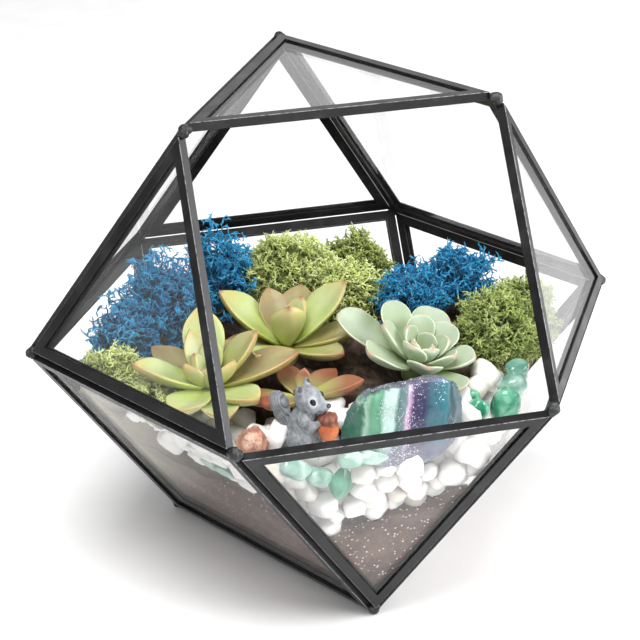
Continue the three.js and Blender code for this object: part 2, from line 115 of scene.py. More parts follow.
def makePiece(bm, name, material, replaced=(), smooth=True):
    mesh = meshFrom(bm, name)
    mesh.polygons.foreach_set("use_smooth", [smooth] * len(mesh.polygons))
    mesh.materials.append(material)
    piece = bpy.data.objects.new(name, mesh)
    bpy.context.scene.collection.objects.link(piece)
    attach(piece, "root")
    if replaced:
        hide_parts(*replaced)
    return piece


def polar(radius, degrees, height=0.0):
    angle = math.radians(degrees)
    return Vector((radius * math.cos(angle), radius * math.sin(angle), height))


def camelCase(nodeName):
    words = nodeName.split("_")
    return words[0] + "".join(word.title() for word in words[1:])


def randomOffset(rng, size):
    return Vector((rng.random(), rng.random(), rng.random())) * size


def randomAim(rng):
    return Vector((rng.gauss(0, 1), rng.gauss(0, 1), rng.gauss(0, 1)))


# the lining is how far behind the outer surface the glass and its came end
vessel = {"edge": 115.0, "lining": 3.7}
layer = vessel["edge"] * math.sqrt(2 / 3)
middle = Vector((0, 0, layer))
triangleRadius = vessel["edge"] / math.sqrt(3)
rings = (
    ("abc", triangleRadius, (90, 210, 330), 2 * layer),
    ("defghk", vessel["edge"], (180, 240, 300, 0, 60, 120), layer),
    ("ijl", triangleRadius, (270, 150, 30), 0),
)
corners = {
    letter: polar(radius, degrees, height)
    for letters, radius, angles, height in rings
    for letter, degrees in zip(letters, angles)
}
squareAxes = [polar(math.sqrt(2 / 3), angle, math.sqrt(1 / 3)) for angle in (270, 30, 150)]
vesselPlanes = [(side * axis, vessel["edge"] * math.sqrt(0.5)) for axis in squareAxes for side in (1, -1)]
for signs in itertools.product((1, -1), repeat=3):
    normal = sum((sign * axis for sign, axis in zip(signs, squareAxes)), Vector()) / math.sqrt(3)
    vesselPlanes.append((normal, layer))


def depthInside(point):
    # how far a point in millimetres lies inside the glass's outer surface
    return min(distance - normal.dot(point - middle) for normal, distance in vesselPlanes)



view = {
    "location": (-0.15872, -0.63933, 0.40076),
    "azimuth": -13.76, "elevation": 25.115, "roll": -1.3758,
    "lens": 106.6, "sensor": 36, "clip": (0.01, 50),
}


def makeCamera():
    data = bpy.data.cameras.new("camera")
    data.lens = view["lens"]
    data.sensor_width = view["sensor"]
    data.clip_start, data.clip_end = view["clip"]
    camera = bpy.data.objects.new("camera", data)
    bpy.context.scene.collection.objects.link(camera)
    azimuth, elevation, roll = (math.radians(view[k]) for k in ("azimuth", "elevation", "roll"))
    right = Vector((math.cos(azimuth), math.sin(azimuth), 0))
    level = Vector((math.sin(azimuth), -math.cos(azimuth), 0))
    back = math.cos(elevation) * level + Vector((0, 0, math.sin(elevation)))
    up = back.cross(right)
    rolledRight = math.cos(roll) * right + math.sin(roll) * up
    rolledUp = -math.sin(roll) * right + math.cos(roll) * up
    turn = Matrix((rolledRight, rolledUp, back)).transposed().to_4x4()
    camera.matrix_world = Matrix.Translation(view["location"]) @ turn
    bpy.context.scene.camera = camera


studio = {
    "worldColour": "#ffffff", "worldStrength": 0.33, "aim": (0, 0, 0.08),
    "floorRadius": 6.0, "floorDrop": 0.0002,
    "lamps": {
        "overhead": {"place": (-0.22, -0.40, 1.25), "size": (0.72, 0.72), "power": 18.5},
        "rightSide": {"place": (0.95, -0.42, 0.48), "size": (0.8, 0.6), "power": 16.0},
        "frontFill": {"place": (-0.35, -1.3, 0.4), "size": (1.0, 0.7), "power": 5.0},
        "backPanel": {"place": (0.45, 1.55, 0.62), "size": (1.9, 0.9), "power": 4.6},
    },
}


def addLamp(name, place, size, power):
    data = bpy.data.lights.new(name, "AREA")
    data.shape = "RECTANGLE"
    data.size, data.size_y = size
    data.energy = power
    lamp = bpy.data.objects.new(name, data)
    lamp.location = place
    lamp.rotation_euler = (Vector(studio["aim"]) - Vector(place)).to_track_quat("-Z", "Y").to_euler()
    bpy.context.scene.collection.objects.link(lamp)


def makeStudio():
    scene = bpy.context.scene
    scene.view_settings.view_transform = "Standard"
    world = bpy.data.worlds.new("studio")
    scene.world = world
    world.use_nodes = True
    background = world.node_tree.nodes["Background"]
    background.inputs["Color"].default_value = linear(studio["worldColour"])
    background.inputs["Strength"].default_value = studio["worldStrength"]
    for name, lamp in studio["lamps"].items():
        addLamp(name, **lamp)
    bm = bmesh.new()
    bmesh.ops.create_circle(bm, cap_ends=True, segments=64, radius=studio["floorRadius"])
    mesh = meshFrom(bm, "floor")
    material, tree, surface, place = startMaterial("paperFloor", {"Roughness": 0.9})
    # seamless matt paper: the faint grain only takes the edge off the light
    grain = addNode(tree, "TexNoise", {"Vector": place, "Scale": 40.0, "Detail": 2.0})
    paper = [(0.3, "#f7f7f7"), (0.7, "#fcfcfc")]
    addNode(tree, "ValToRGB", {"Fac": grain, "stops": paper}, surface["Base Color"])
    mesh.materials.append(material)
    floor = bpy.data.objects.new("floor", mesh)
    floor.location.z = -studio["floorDrop"]
    scene.collection.objects.link(floor)


makeCamera()
makeStudio()
print("camera and studio ready")


def patinaMaterial():
    # black patina on folded came: a clouded dark satin skin, with a bright line on the outer arris that is
    # partly rubbed tin and partly a painted highlight
    skin = {"Metallic": 0.1, "Specular IOR Level": 0.32}
    material, tree, surface, place = startMaterial("blackPatinaCame", skin)
    cloud = addNode(tree, "TexNoise", {"Vector": place, "Scale": 110.0, "Detail": 5.0})
    fine = addNode(tree, "TexNoise", {"Vector": place, "Scale": 700.0, "Detail": 3.0})
    body = addNode(tree, "ValToRGB", {
        "Fac": cloud, "stops": [(0.3, "#0f0f10"), (0.55, "#1a1a1b"), (0.75, "#2b2b2d")],
    })
    arris = addNode(tree, "Attribute", {"attribute_name": "arris"}).node.outputs["Fac"]
    patchy = addNode(tree, "MapRange", {0: fine, 1: 0.36, 2: 0.56, 3: 0.15})
    wornAndHighlit = addNode(tree, "Math", {0: arris, 1: patchy, "operation": "MULTIPLY"})
    # the bright arris colour is partly rubbed tin and partly a painted highlight
    addNode(tree, "Mix", {"data_type": "RGBA", 0: wornAndHighlit, 6: body, 7: "#8c8c90"}, surface["Base Color"])
    addNode(tree, "MapRange", {0: cloud, 1: 0.3, 2: 0.75, 3: 0.28, 4: 0.46}, surface["Roughness"])
    addNode(tree, "Bump", {"Height": fine, "Strength": 0.3, "Distance": 0.12 * mm}, surface["Normal"])
    return material


def solderMaterial():
    # patinated solder: darker and rougher than the came, pitted, and painted lighter on its high points as a
    # dull sheen
    material, tree, surface, place = startMaterial("blackPatinaSolder", {"Metallic": 0.3})
    cloud = addNode(tree, "TexNoise", {"Vector": place, "Scale": 420.0, "Detail": 6.0})
    # the lighter stops sit where the bump is highest: a painted sheen
    addNode(tree, "ValToRGB", {
        "Fac": cloud, "stops": [(0.35, "#161617"), (0.55, "#29292b"), (0.72, "#4c4c50")],
    }, surface["Base Color"])
    addNode(tree, "MapRange", {0: cloud, 1: 0.3, 2: 0.7, 3: 0.38, 4: 0.6}, surface["Roughness"])
    addNode(tree, "Bump", {"Height": cloud, "Strength": 0.5, "Distance": 0.25 * mm}, surface["Normal"])
    return material


def glassMaterial():
    # clear float glass: all but unseen head on, mirroring the studio at a slant, under a faint veil of dust
    material = bpy.data.materials.new("floatGlass")
    material.use_nodes = True
    tree = material.node_tree
    tree.nodes.remove(tree.nodes["Principled BSDF"])
    output = tree.nodes["Material Output"]
    slant = addNode(tree, "LayerWeight", {"Blend": 0.5}).node.outputs["Facing"]
    steep = addNode(tree, "Math", {0: slant, "operation": "POWER", 1: 5.0})
    mirrored = addNode(tree, "MapRange", {0: steep, 1: 0.0, 2: 0.2, 3: 0.04, 4: 0.19})
    clear = addNode(tree, "BsdfTransparent", {"Color": "#fefefe"})
    mirror = addNode(tree, "BsdfGlossy", {"Color": "#ffffff", "Roughness": 0.02})
    pane = addNode(tree, "MixShader", {0: mirrored, 1: clear, 2: mirror})
    place = addNode(tree, "TexCoord").node.outputs["Object"]
    smear = addNode(tree, "TexNoise", {"Vector": place, "Scale": 18.0, "Detail": 3.0})
    haze = addNode(tree, "MapRange", {0: smear, 1: 0.25, 2: 0.75, 3: 0.003, 4: 0.014})
    dust = addNode(tree, "BsdfDiffuse", {"Color": "#ffffff"})
    addNode(tree, "MixShader", {0: haze, 1: pane, 2: dust}, output.inputs["Surface"])
    return material


came = {"arris": 0.18, "innerArris": 0.12, "flatAngle": 2.0, "sharpAngle": 40}


def dressCame(nodeName, material):
    # the folded channel with its arrises eased; those along the vessel's edges are marked for the bright line,
    # part wear and part painted highlight
    bm = bmesh.new()
    bm.from_mesh(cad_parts[nodeName].data)
    bmesh.ops.remove_doubles(bm, verts=bm.verts, dist=0.01 * mm)
    bmesh.ops.dissolve_limit(bm, angle_limit=math.radians(came["flatAngle"]), verts=bm.verts, edges=bm.edges)
    sharpAngle = math.radians(came["sharpAngle"])
    arris = bm.faces.layers.float.new("arris")
    centre = sum((v.co for v in bm.verts), Vector()) / len(bm.verts)
    outward = (centre - middle * mm).normalized()

    def isOuter(edge):
        onFace = [f for f in edge.link_faces if f.normal.dot(outward) > 0.9]
        aside = [f for f in edge.link_faces if abs(f.normal.dot(outward)) < 0.3]
        reach = (edge.verts[0].co + edge.verts[1].co) / 2 - centre
        return bool(onFace and aside) and aside[0].normal.dot(reach) > 0

    for outer, offset, steps in ((True, came["arris"], 2), (False, came["innerArris"], 1)):
        sharp = [e for e in bm.edges if len(e.link_faces) == 2 and e.calc_face_angle(0.0) > sharpAngle]
        chosen = [e for e in sharp if isOuter(e) == outer and not any(f[arris] > 0 for f in e.link_faces)]
        eased = bmesh.ops.bevel(
            bm, geom=chosen, offset=offset * mm, offset_type="OFFSET", segments=steps, profile=0.5,
            affect="EDGES", clamp_overlap=True, material=-1,
        )
        for face in eased["faces"]:
            face[arris] = 1.0 if outer else 0.0
    makePiece(bm, camelCase(nodeName), material, [nodeName], smooth=False)


# the tail is how much further the bead reaches along a came, and it never passes below the foot
solder = {"radius": 2.05, "inset": 2.3, "tail": 0.45, "foot": 0.05}


def solderBead(letter, material):
    # a dab melted over the corner, drawn out a little towards each came that meets there
    rng = random.Random(ord(letter))
    corner = corners[letter]
    inward = (middle - corner).normalized()
    centre = corner + inward * solder["inset"]
    bm = bmesh.new()
    bmesh.ops.create_icosphere(bm, subdivisions=4, radius=solder["radius"])
    ways = [other - corner for other in corners.values() if other is not corner]
    runs = [way.normalized() for way in ways if way.length < vessel["edge"] * 1.01]
    offset = randomOffset(rng, 40)
    for vert in bm.verts:
        out = vert.co.normalized()
        along = max(out.dot(run) for run in runs)
        reach = 1 + solder["tail"] * smoothStep(along, 0.55, 1.0)
        rough = noise.noise(out * 1.5 + offset) * 0.07 + noise.noise(out * 4 + offset) * 0.02
        vert.co = vert.co * (reach + rough) + centre
        vert.co.z = max(vert.co.z, solder["foot"])
    bmesh.ops.scale(bm, vec=(mm, mm, mm), verts=bm.verts)
    makePiece(bm, "solder" + letter.upper(), material, ["solder_" + letter])


def smoothStep(value, low, high):
    t = min(1, max(0, (value - low) / (high - low)))
    return t * t * (3 - 2 * t)


patina = patinaMaterial()
for nodeName in sorted(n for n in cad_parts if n.startswith("came_")):
    dressCame(nodeName, patina)
beadMetal = solderMaterial()
for letter in corners:
    solderBead(letter, beadMetal)
glass = glassMaterial()
for nodeName in sorted(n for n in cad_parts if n.startswith("pane_")):
    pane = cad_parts[nodeName]
    pane.data.materials.clear()
    pane.data.materials.append(glass)
print("vessel dressed")


soil = {"level": 50.0, "step": 2.4, "dip": 5.0, "dipFrom": 46.0, "dipTo": 60.0}
bed = {"level": 81.0, "apexX": 6.0, "apexY": -60.0, "spread": 115.0, "leftEnd": -82.0}
mound = {"level": 87.0, "fall": 18.0, "fallFrom": 62.0, "fallTo": 104.0, "middleY": -8.0, "step": 2.0}


def soilHeight(x, y):
    # lower where the pebbles lie against the left-hand pane
    towardsLeft = smoothStep(-0.866 * x - 0.5 * y, soil["dipFrom"], soil["dipTo"])
    dip = soil["dip"] * towardsLeft * smoothStep(bedFrontAt(x) - y, 0, 9)
    return soil["level"] + 2.2 * math.sin(x / 19) + 1.6 * math.cos(y / 23 + 0.6) + min(0, x + 10) * 0.06 - dip


def mixHeight(x, y):
    away = math.hypot(x, y - mound["middleY"])
    fall = mound["fall"] * smoothStep(away, mound["fallFrom"], mound["fallTo"])
    return mound["level"] - fall + 0.6 * math.sin(x / 9) * math.cos(y / 8)


def bedFrontAt(x):
    return bed["apexY"] + (x - bed["apexX"]) ** 2 / bed["spread"] if x > bed["leftEnd"] else -110.0


def trimToVessel(bm, wall):
    # cuts a closed body back to the inside of the panes and closes each cut
    for normal, distance in vesselPlanes:
        if normal.z > 0.5:
            continue
        point = (middle + normal * (distance - wall)) * mm
        cut = bmesh.ops.bisect_plane(
            bm, geom=bm.verts[:] + bm.edges[:] + bm.faces[:], dist=1e-7, plane_co=point, plane_no=normal,
            clear_outer=True,
        )
        edges = [e for e in cut["geom_cut"] if isinstance(e, bmesh.types.BMEdge)]
        if edges:
            bmesh.ops.holes_fill(bm, edges=edges, sides=0)


def groundBody(step, top, bottom, frontAt, wall):
    # a block from bottom to a rough top surface, its front edge following frontAt
    half = vessel["edge"]
    columns = int(2 * half / step)
    bm = bmesh.new()
    bmesh.ops.create_grid(bm, x_segments=columns, y_segments=columns, size=1.0)
    lid = bm.faces[:]
    for vert in bm.verts:
        x = vert.co.x * half
        front = max(frontAt(x), -half)
        y = front + (vert.co.y + 1) / 2 * (half - front)
        vert.co = Vector((x, y, 0))
    base = bmesh.ops.extrude_face_region(bm, geom=lid)
    raised = {v for v in base["geom"] if isinstance(v, bmesh.types.BMVert)}
    for vert in bm.verts:
        x, y = vert.co.x, vert.co.y
        vert.co = Vector((x, y, top(x, y) if vert in raised else bottom)) * mm
    trimToVessel(bm, wall)
    bmesh.ops.recalc_face_normals(bm, faces=bm.faces)
    return bm


def soilMaterial():
    # fine dry mauve-brown soil: matt, with pale grit and a few golden flecks of mica
    skin = {"Roughness": 0.95, "Specular IOR Level": 0.2}
    material, tree, surface, place = startMaterial("fineDrySoil", skin)
    cloud = addNode(tree, "TexNoise", {"Vector": place, "Scale": 60.0, "Detail": 8.0, "Roughness": 0.7})
    body = addNode(tree, "ValToRGB", {
        "Fac": cloud, "stops": [(0.3, "#453630"), (0.5, "#614d44"), (0.7, "#79655a")],
    })
    # paler out towards the left-hand corner: painted light that lifts the shaded corner seen through the
    # left-hand pane
    leftward = addNode(tree, "SeparateXYZ", {0: place})
    colour = layered(tree, body, [(leftward, -50 * mm, -82 * mm, 0.92, "#ece6d6")])
    # grit of about 0.9 mm, pale, and more rarely golden
    grit = addNode(tree, "TexVoronoi", {"Vector": place, "Scale": 820.0, "Randomness": 1.0})
    cells = addNode(tree, "SeparateColor", {"Color": grit.node.outputs["Color"]}).node.outputs
    speck = addNode(tree, "MapRange", {0: grit, 1: 0.42, 2: 0.2})
    for cell, rarity, tone in ((cells[0], 0.78, "#d9cfc8"), (cells[1], 0.95, "#c79a63")):
        chosen = addNode(tree, "Math", {0: cell, 1: rarity, "operation": "GREATER_THAN"})
        point = addNode(tree, "Math", {0: chosen, 1: speck, "operation": "MULTIPLY"})
        colour = addNode(tree, "Mix", {"data_type": "RGBA", 0: point, 6: colour, 7: tone})
    tree.links.new(colour, surface["Base Color"])
    rough = addNode(tree, "Math", {0: cloud, 1: speck, "operation": "ADD"})
    addNode(tree, "Bump", {"Height": rough, "Strength": 0.5, "Distance": 0.8 * mm}, surface["Normal"])
    return material


def mixMaterial():
    # damp bark and peat: near black in the hollows, brown fibres and paler crumbs on top
    material, tree, surface, place = startMaterial("dampBarkMix", {"Roughness": 0.85})
    cloud = addNode(tree, "TexNoise", {"Vector": place, "Scale": 110.0, "Detail": 9.0, "Roughness": 0.75})
    grain = {"Vector": place, "Scale": (1.0, 0.35, 0.8), "Rotation": (0.3, 0.2, 0.7)}
    stretched = addNode(tree, "Mapping", grain)
    fibre = addNode(tree, "TexNoise", {"Vector": stretched, "Scale": 420.0, "Detail": 4.0})
    body = addNode(tree, "ValToRGB", {
        "Fac": cloud, "stops": [(0.32, "#1c1410"), (0.5, "#3a2b22"), (0.66, "#6a5443"), (0.8, "#8d7763")],
    })
    # paler out towards the left-hand corner: painted light that lifts the shaded corner seen through the
    # left-hand pane
    leftward = addNode(tree, "SeparateXYZ", {0: place})
    coats = [(fibre, 0.45, 0.75, 0.6, "#8a7059"), (leftward, -60 * mm, -88 * mm, 0.85, "#cfc6b0")]
    layered(tree, body, coats, surface["Base Color"])
    addNode(tree, "Bump", {"Height": cloud, "Strength": 0.9, "Distance": 2.5 * mm}, surface["Normal"])
    return material


def soilTop(x, y):
    ripple = noise.noise(Vector((x, y, 3.0)) * 0.16) * 1.6 + noise.noise(Vector((x, y, 9.0)) * 0.5) * 0.7
    return soilHeight(x, y) + ripple


def mixTop(x, y):
    clod = noise.noise(Vector((x, y, 1.0)) * 0.13) * 2.2 + noise.noise(Vector((x, y, 7.0)) * 0.42) * 1.3
    return mixHeight(x, y) + clod


makePiece(
    groundBody(soil["step"], soilTop, -10.0, lambda x: -vessel["edge"], vessel["lining"]),
    "fineSoil", soilMaterial(), ["soil_fine"],
)
makePiece(
    groundBody(mound["step"], mixTop, 40.0, bedFrontAt, vessel["lining"] + 0.4),
    "plantingMix", mixMaterial(), ["soil_planting_mix"],
)
print("soil laid")


def pointedLeaf(s):
    # narrow foot, broadest past the middle, drawn in to an acute tip
    widest = 0.6
    if s < widest:
        return 0.36 + 0.64 * math.sin((s / widest) * (math.pi / 2)) ** 1.2
    return max(0.0, 1 - ((s - widest) / (1 - widest)) ** 2.1)


def spoonLeaf(s):
    widest = 0.72
    if s < widest:
        return 0.3 + 0.7 * math.sin((s / widest) * (math.pi / 2)) ** 1.3
    t = (s - widest) / (1 - widest)
    return math.sqrt(max(0, 1 - t * t)) if t < 0.94 else max(0.0, 0.34 * (1 - t) / 0.06)


def addLeaf(bm, layerData, place, leaf, shape, rng):
    # one thick leaf, pulled from a sphere whose poles become its foot and its tip
    around, lengthways = shape["segments"]
    made = bmesh.ops.create_uvsphere(bm, u_segments=around, v_segments=lengthways, radius=1.0)
    curl = shape["curl"]
    start = leaf["rise"] - curl / 2
    tint = leaf.get("age", rng.random())
    wave = rng.uniform(-1, 1)
    for vert in made["verts"]:
        phi = math.acos(max(-1, min(1, vert.co.z)))
        s = math.sin(phi / 2)
        ring = math.hypot(vert.co.x, vert.co.y)
        across, up = (vert.co.x / ring, vert.co.y / ring) if ring > 1e-5 else (0.0, 0.0)
        wide = shape["profile"](s)
        if s > 0.999:
            wide = 0.0
        elif s < 0.001:
            across, up = 0.0, 0.0
        angle = math.radians(start + curl * s)
        bend = math.radians(start + curl * s / 2)
        along = shape["foot"] + (leaf["length"] - shape["foot"]) * s
        thick = shape["thickness"] / 2 * math.sqrt(wide)
        swell = abs(up) ** shape["lens"] * (1 if up > 0 else -1)
        lift = thick * swell * (shape["top"] if up > 0 else shape["keel"])
        lift += shape["fold"] * leaf["width"] * wide * abs(across) ** 1.5
        side = wide * (across * leaf["width"] / 2 + wave * 0.35 * math.sin(s * 4))
        onward = along * math.cos(bend) - lift * math.sin(angle)
        point = Vector((onward, side, along * math.sin(bend) + lift * math.cos(angle)))
        vert.co = place @ (Matrix.Rotation(math.radians(leaf["azimuth"]), 4, "Z") @ point)
        vert[layerData] = (s, abs(across), 0.5 - 0.5 * up, tint)


def makeRosette(name, plant, shape, material, node, seed):
    # a short stem with its leaves round it
    rng = random.Random(seed)
    bm = bmesh.new()
    layerData = bm.verts.layers.float_color.new("leaf")
    tilt = Matrix.Rotation(math.radians(plant["tilt"]), 4, polar(1, plant["tiltTowards"] + 90))
    place = Matrix.Scale(mm, 4) @ Matrix.Translation(plant["centre"]) @ tilt
    for leaf in plant["leaves"]:
        addLeaf(bm, layerData, place, leaf, shape, rng)
    stem = bmesh.ops.create_uvsphere(bm, u_segments=16, v_segments=10, radius=1.0)
    for vert in stem["verts"]:
        drop = vert.co.z * (plant["drop"] / 2 + 1.5) - plant["drop"] / 2
        vert.co = place @ Vector((vert.co.x * plant["stem"], vert.co.y * plant["stem"], drop))
        vert[layerData] = (0.1, 0.0, 0.6, 0.5)
    bmesh.ops.recalc_face_normals(bm, faces=bm.faces)
    makePiece(bm, name, material, [node])


def goldLeaves(rows):
    # rows of azimuth, rise, length, extra width and how old and bronzed the leaf is
    return [
        {"azimuth": azimuth, "rise": rise, "length": length, "width": length * 0.46 + 1 + extra, "age": age}
        for azimuth, rise, length, extra, age in rows
    ]


goldShape = {
    "segments": (20, 22), "profile": pointedLeaf, "curl": 16, "foot": 1.5, "thickness": 3.6,
    "top": 0.6, "keel": 1.5, "lens": 1.2, "fold": 0.17,
}
leftSucculent = {
    "centre": (-54, -42, 91.5), "tilt": 0, "tiltTowards": 0, "stem": 4.0, "drop": 8.0,
    "leaves": goldLeaves([
        (180, 26, 30, 2, 0.3), (85, 50, 31, 0, 0.35), (5, 46, 27, 1, 0.62), (-8, 20, 35, 2, 0.9),
        (-58, 8, 26, 2, 0.2), (-128, 6, 27, 2, 0.1), (-88, 0, 26, 2, 0.3), (130, 20, 28, 0, 0.9),
        (52, 30, 22, 0, 0.8), (-150, 52, 17, 0, 0.3), (-40, 50, 17, 2, 0.15), (60, 66, 18, 0, 0.3),
        (-95, 60, 13, 1, 0.1),
        (112, 60, 22, 0, 0.5), (20, 76, 11, 0, 0.2), (150, 70, 14, 0, 0.2),
    ]),
}
centreSucculent = {
    "centre": (-20, -21, 93), "tilt": 0, "tiltTowards": 0, "stem": 4.0, "drop": 8.0,
    "leaves": goldLeaves([
        (150, 38, 33, 2, 0.2), (14, 40, 33, 1, 0.3), (64, 28, 30, 0, 0.85), (-132, 16, 25, 0, 0.3),
        (-14, 16, 31, 0, 0.8), (-52, 10, 27, 0, 0.6), (100, 44, 25, 0, 0.95), (-95, 66, 23, 2, 0.15),
        (172, 12, 23, 0, 0.9), (110, 14, 28, 0, 0.8), (-60, 80, 17, 0, 0.1), (30, 66, 20, 0, 0.2),
        (150, 76, 14, 0, 0.2),
    ]),
}
redOffset = {
    "centre": (-23, -54, 88.5), "tilt": 0, "tiltTowards": 0, "stem": 3.4, "drop": 6.0,
    "leaves": goldLeaves([
        (-150, 14, 19, 0, 0.9), (-20, 20, 24, 0, 0.5), (35, 12, 20, 0, 0.7), (-178, 10, 22, 0, 0.6),
        (100, 20, 18, 0, 0.8), (-95, 44, 13, 0, 0.4), (60, 60, 11, 0, 0.5),
    ]),
}
echeveriaShape = {
    "segments": (22, 22), "profile": spoonLeaf, "curl": 26, "foot": 1.5, "thickness": 3.0,
    "top": 0.5, "keel": 1.3, "lens": 1.1, "fold": 0.15,
}
echeveriaLeafCount = 18
longSide = 166  # the leaves on this side have grown longer


def echeveriaLeaf(index):
    inward = index / (echeveriaLeafCount - 1)
    azimuth = 150 + math.degrees(index * golden)
    grown = 1 + 0.18 * math.cos(math.radians(azimuth - longSide)) * (1 - inward)
    return {
        "azimuth": azimuth, "rise": 14 + 58 * inward, "length": (29.5 - 19.5 * inward) * grown,
        "width": (16.5 - 9.5 * inward) * (0.5 + 0.5 * grown),
    }


echeveria = {
    "centre": (22.5, -47.5, 92.5), "tilt": 18, "tiltTowards": -50, "stem": 5.0, "drop": 9.0,
    "leaves": [echeveriaLeaf(i) for i in range(echeveriaLeafCount)],
}


def leafParts(tree):
    # the leaf's own map: how far along it, how near its edge, how far under it, and a tint of its own
    attribute = addNode(tree, "Attribute", {"attribute_name": "leaf"})
    parts = addNode(tree, "SeparateColor", {"Color": attribute}).node.outputs
    return parts[0], parts[1], parts[2], attribute.node.outputs["Alpha"]


def rimmed(tree, colour, along, edge, rim):
    # a thin line of another colour along the leaf's margin, fading out towards its foot
    share = addNode(tree, "Math", {
        0: addNode(tree, "MapRange", {0: edge, 1: rim["starts"], 2: rim["full"]}),
        1: addNode(tree, "MapRange", {0: along, 1: rim["foot"], 2: rim["body"], 4: rim["strength"]}),
        "operation": "MULTIPLY",
    })
    shades = addNode(tree, "ValToRGB", {"Fac": along, "stops": rim["stops"]})
    return addNode(tree, "Mix", {"data_type": "RGBA", 0: share, 6: colour, 7: shades})


def goldLeafMaterial(name, redness):
    # living leaf with a waxy skin: soft gloss, light glowing through it, warm at the margins and the tip, and
    # painted darker underneath as shade
    material, tree, surface, place = startMaterial(name, {
        "Roughness": 0.42, "Subsurface Weight": 0.35, "Subsurface Radius": (0.9, 1.0, 0.35),
        "Subsurface Scale": 2.5 * mm, "Coat Weight": 0.12, "Coat Roughness": 0.35,
    })
    along, edge, under, tint = leafParts(tree)
    cloud = addNode(tree, "TexNoise", {"Vector": place, "Scale": 85.0, "Detail": 3.0})
    body = addNode(tree, "ValToRGB", {
        "Fac": along, "stops": [(0.0, "#b0c24c"), (0.3, "#b2c268"), (0.65, "#b4c282"), (0.94, "#beb474")],
    })
    bronze = addNode(tree, "ValToRGB", {"Fac": cloud, "stops": [(0.35, "#82594a"), (0.6, "#9d8a60")]})
    aged = layered(tree, body, [
        (cloud, 0.45, 0.68, 0.5, "#ccd4ac"), (tint, 0.35, 1.0, 0.85, bronze),
        # this coat darkens the underside of the leaf: painted shade
        (under, 0.5, 0.95, 0.35, "#a8904a"),
    ])
    edged = rimmed(tree, aged, along, edge, {
        "starts": 0.93, "full": 0.995, "foot": 0.15, "body": 0.5, "strength": 0.6,
        "stops": [(0.3, "#d6dc80"), (0.6, "#d3b468"), (0.9, "#b85a3c")],
    })
    uneven = addNode(tree, "MapRange", {0: cloud, 1: 0.3, 2: 0.7, 3: -0.04, 4: 0.04})
    tip = addNode(tree, "Math", {0: along, 1: uneven, "operation": "ADD"})
    red = addNode(tree, "ValToRGB", {"Fac": cloud, "stops": [(0.4, "#853626"), (0.65, "#974b32")]})
    layered(tree, edged, [(tip, 0.97 - redness, 1.03 - redness * 0.35, 0.85, red)], surface["Base Color"])
    addNode(tree, "Bump", {"Height": cloud, "Strength": 0.15, "Distance": 0.6 * mm}, surface["Normal"])
    return material


def echeveriaMaterial():
    # powdery blue-green leaf: matt bloom over a green flesh, pale margins blushed pink towards the point
    material, tree, surface, place = startMaterial("bloomedEcheveriaLeaf", {
        "Roughness": 0.55, "Subsurface Weight": 0.25, "Subsurface Radius": (0.7, 1.0, 0.5),
        "Subsurface Scale": 1.6 * mm, "Sheen Weight": 0.25, "Sheen Roughness": 0.4,
    })
    along, edge, _, tint = leafParts(tree)
    cloud = addNode(tree, "TexNoise", {"Vector": place, "Scale": 70.0, "Detail": 4.0})
    body = addNode(tree, "ValToRGB", {
        "Fac": along, "stops": [(0.0, "#819c3e"), (0.3, "#8fa663"), (0.6, "#90a27b"), (0.95, "#98a88e")],
    })
    aged = layered(tree, body, [(cloud, 0.4, 0.66, 0.6, "#b9c3b3"), (tint, 0.6, 1.0, 0.4, "#9fae86")])
    edged = rimmed(tree, aged, along, edge, {
        "starts": 0.92, "full": 0.99, "foot": 0.25, "body": 0.55, "strength": 0.8,
        "stops": [(0.5, "#e2ecd2"), (0.93, "#e2dac6")],
    })
    layered(tree, edged, [(along, 0.972, 0.998, 0.65, "#c48a7c")], surface["Base Color"])
    addNode(tree, "Bump", {"Height": cloud, "Strength": 0.12, "Distance": 0.5 * mm}, surface["Normal"])
    return material


goldLeaf = goldLeafMaterial("waxyGoldLeaf", 0.04)
redLeaf = goldLeafMaterial("waxyRedLeaf", 0.8)
blueGreenLeaf = echeveriaMaterial()
for name, plant, shape, stuff, slot, node, seed in (
    ("succulentLeft", leftSucculent, goldShape, goldLeaf, "gold_leaf", "succulent_left", 3),
    ("succulentCentre", centreSucculent, goldShape, goldLeaf, "gold_leaf", "succulent_centre", 8),
    ("succulentRedOffset", redOffset, goldShape, redLeaf, "red_leaf", "succulent_red_offset", 5),
    ("echeveriaRosette", echeveria, echeveriaShape, blueGreenLeaf, "blue_green_leaf", "echeveria", 4),
):
    makeRosette(name, plant, shape, stuff, node, seed)
print("succulents grown")


def growStrand(bm, base, heading, length, radius, steps, curl, rng):
    # a three-sided tube pushed out step by step and drawn to a point; returns its last place and heading
    turn = heading.to_track_quat("Z", "Y").to_matrix().to_4x4()
    made = bmesh.ops.create_circle(
        bm, cap_ends=True, segments=3, radius=radius, matrix=Matrix.Translation(base) @ turn
    )
    face = made["verts"][0].link_faces[0]
    place = base.copy()
    axis = heading.orthogonal().normalized()
    axis.rotate(Matrix.Rotation(rng.uniform(0, 2 * math.pi), 3, heading))
    for _ in range(steps):
        grown = bmesh.ops.extrude_face_region(bm, geom=[face])["geom"]
        face = next(item for item in grown if isinstance(item, bmesh.types.BMFace))
        swing = Matrix.Rotation(math.radians(curl) * rng.uniform(0.6, 1.4), 3, axis)
        heading = swing @ heading
        move = heading * (length / steps)
        ring = list(face.verts)
        bmesh.ops.rotate(bm, cent=place, matrix=swing, verts=ring)
        bmesh.ops.translate(bm, vec=move, verts=ring)
        place = place + move
    bmesh.ops.pointmerge(bm, verts=list(face.verts), merge_co=place)
    return place, heading


def forkHeading(heading, angle, rng):
    side = heading.orthogonal().normalized()
    side.rotate(Matrix.Rotation(rng.uniform(0, 2 * math.pi), 3, heading))
    return (Matrix.Rotation(math.radians(angle), 3, side) @ heading).normalized()


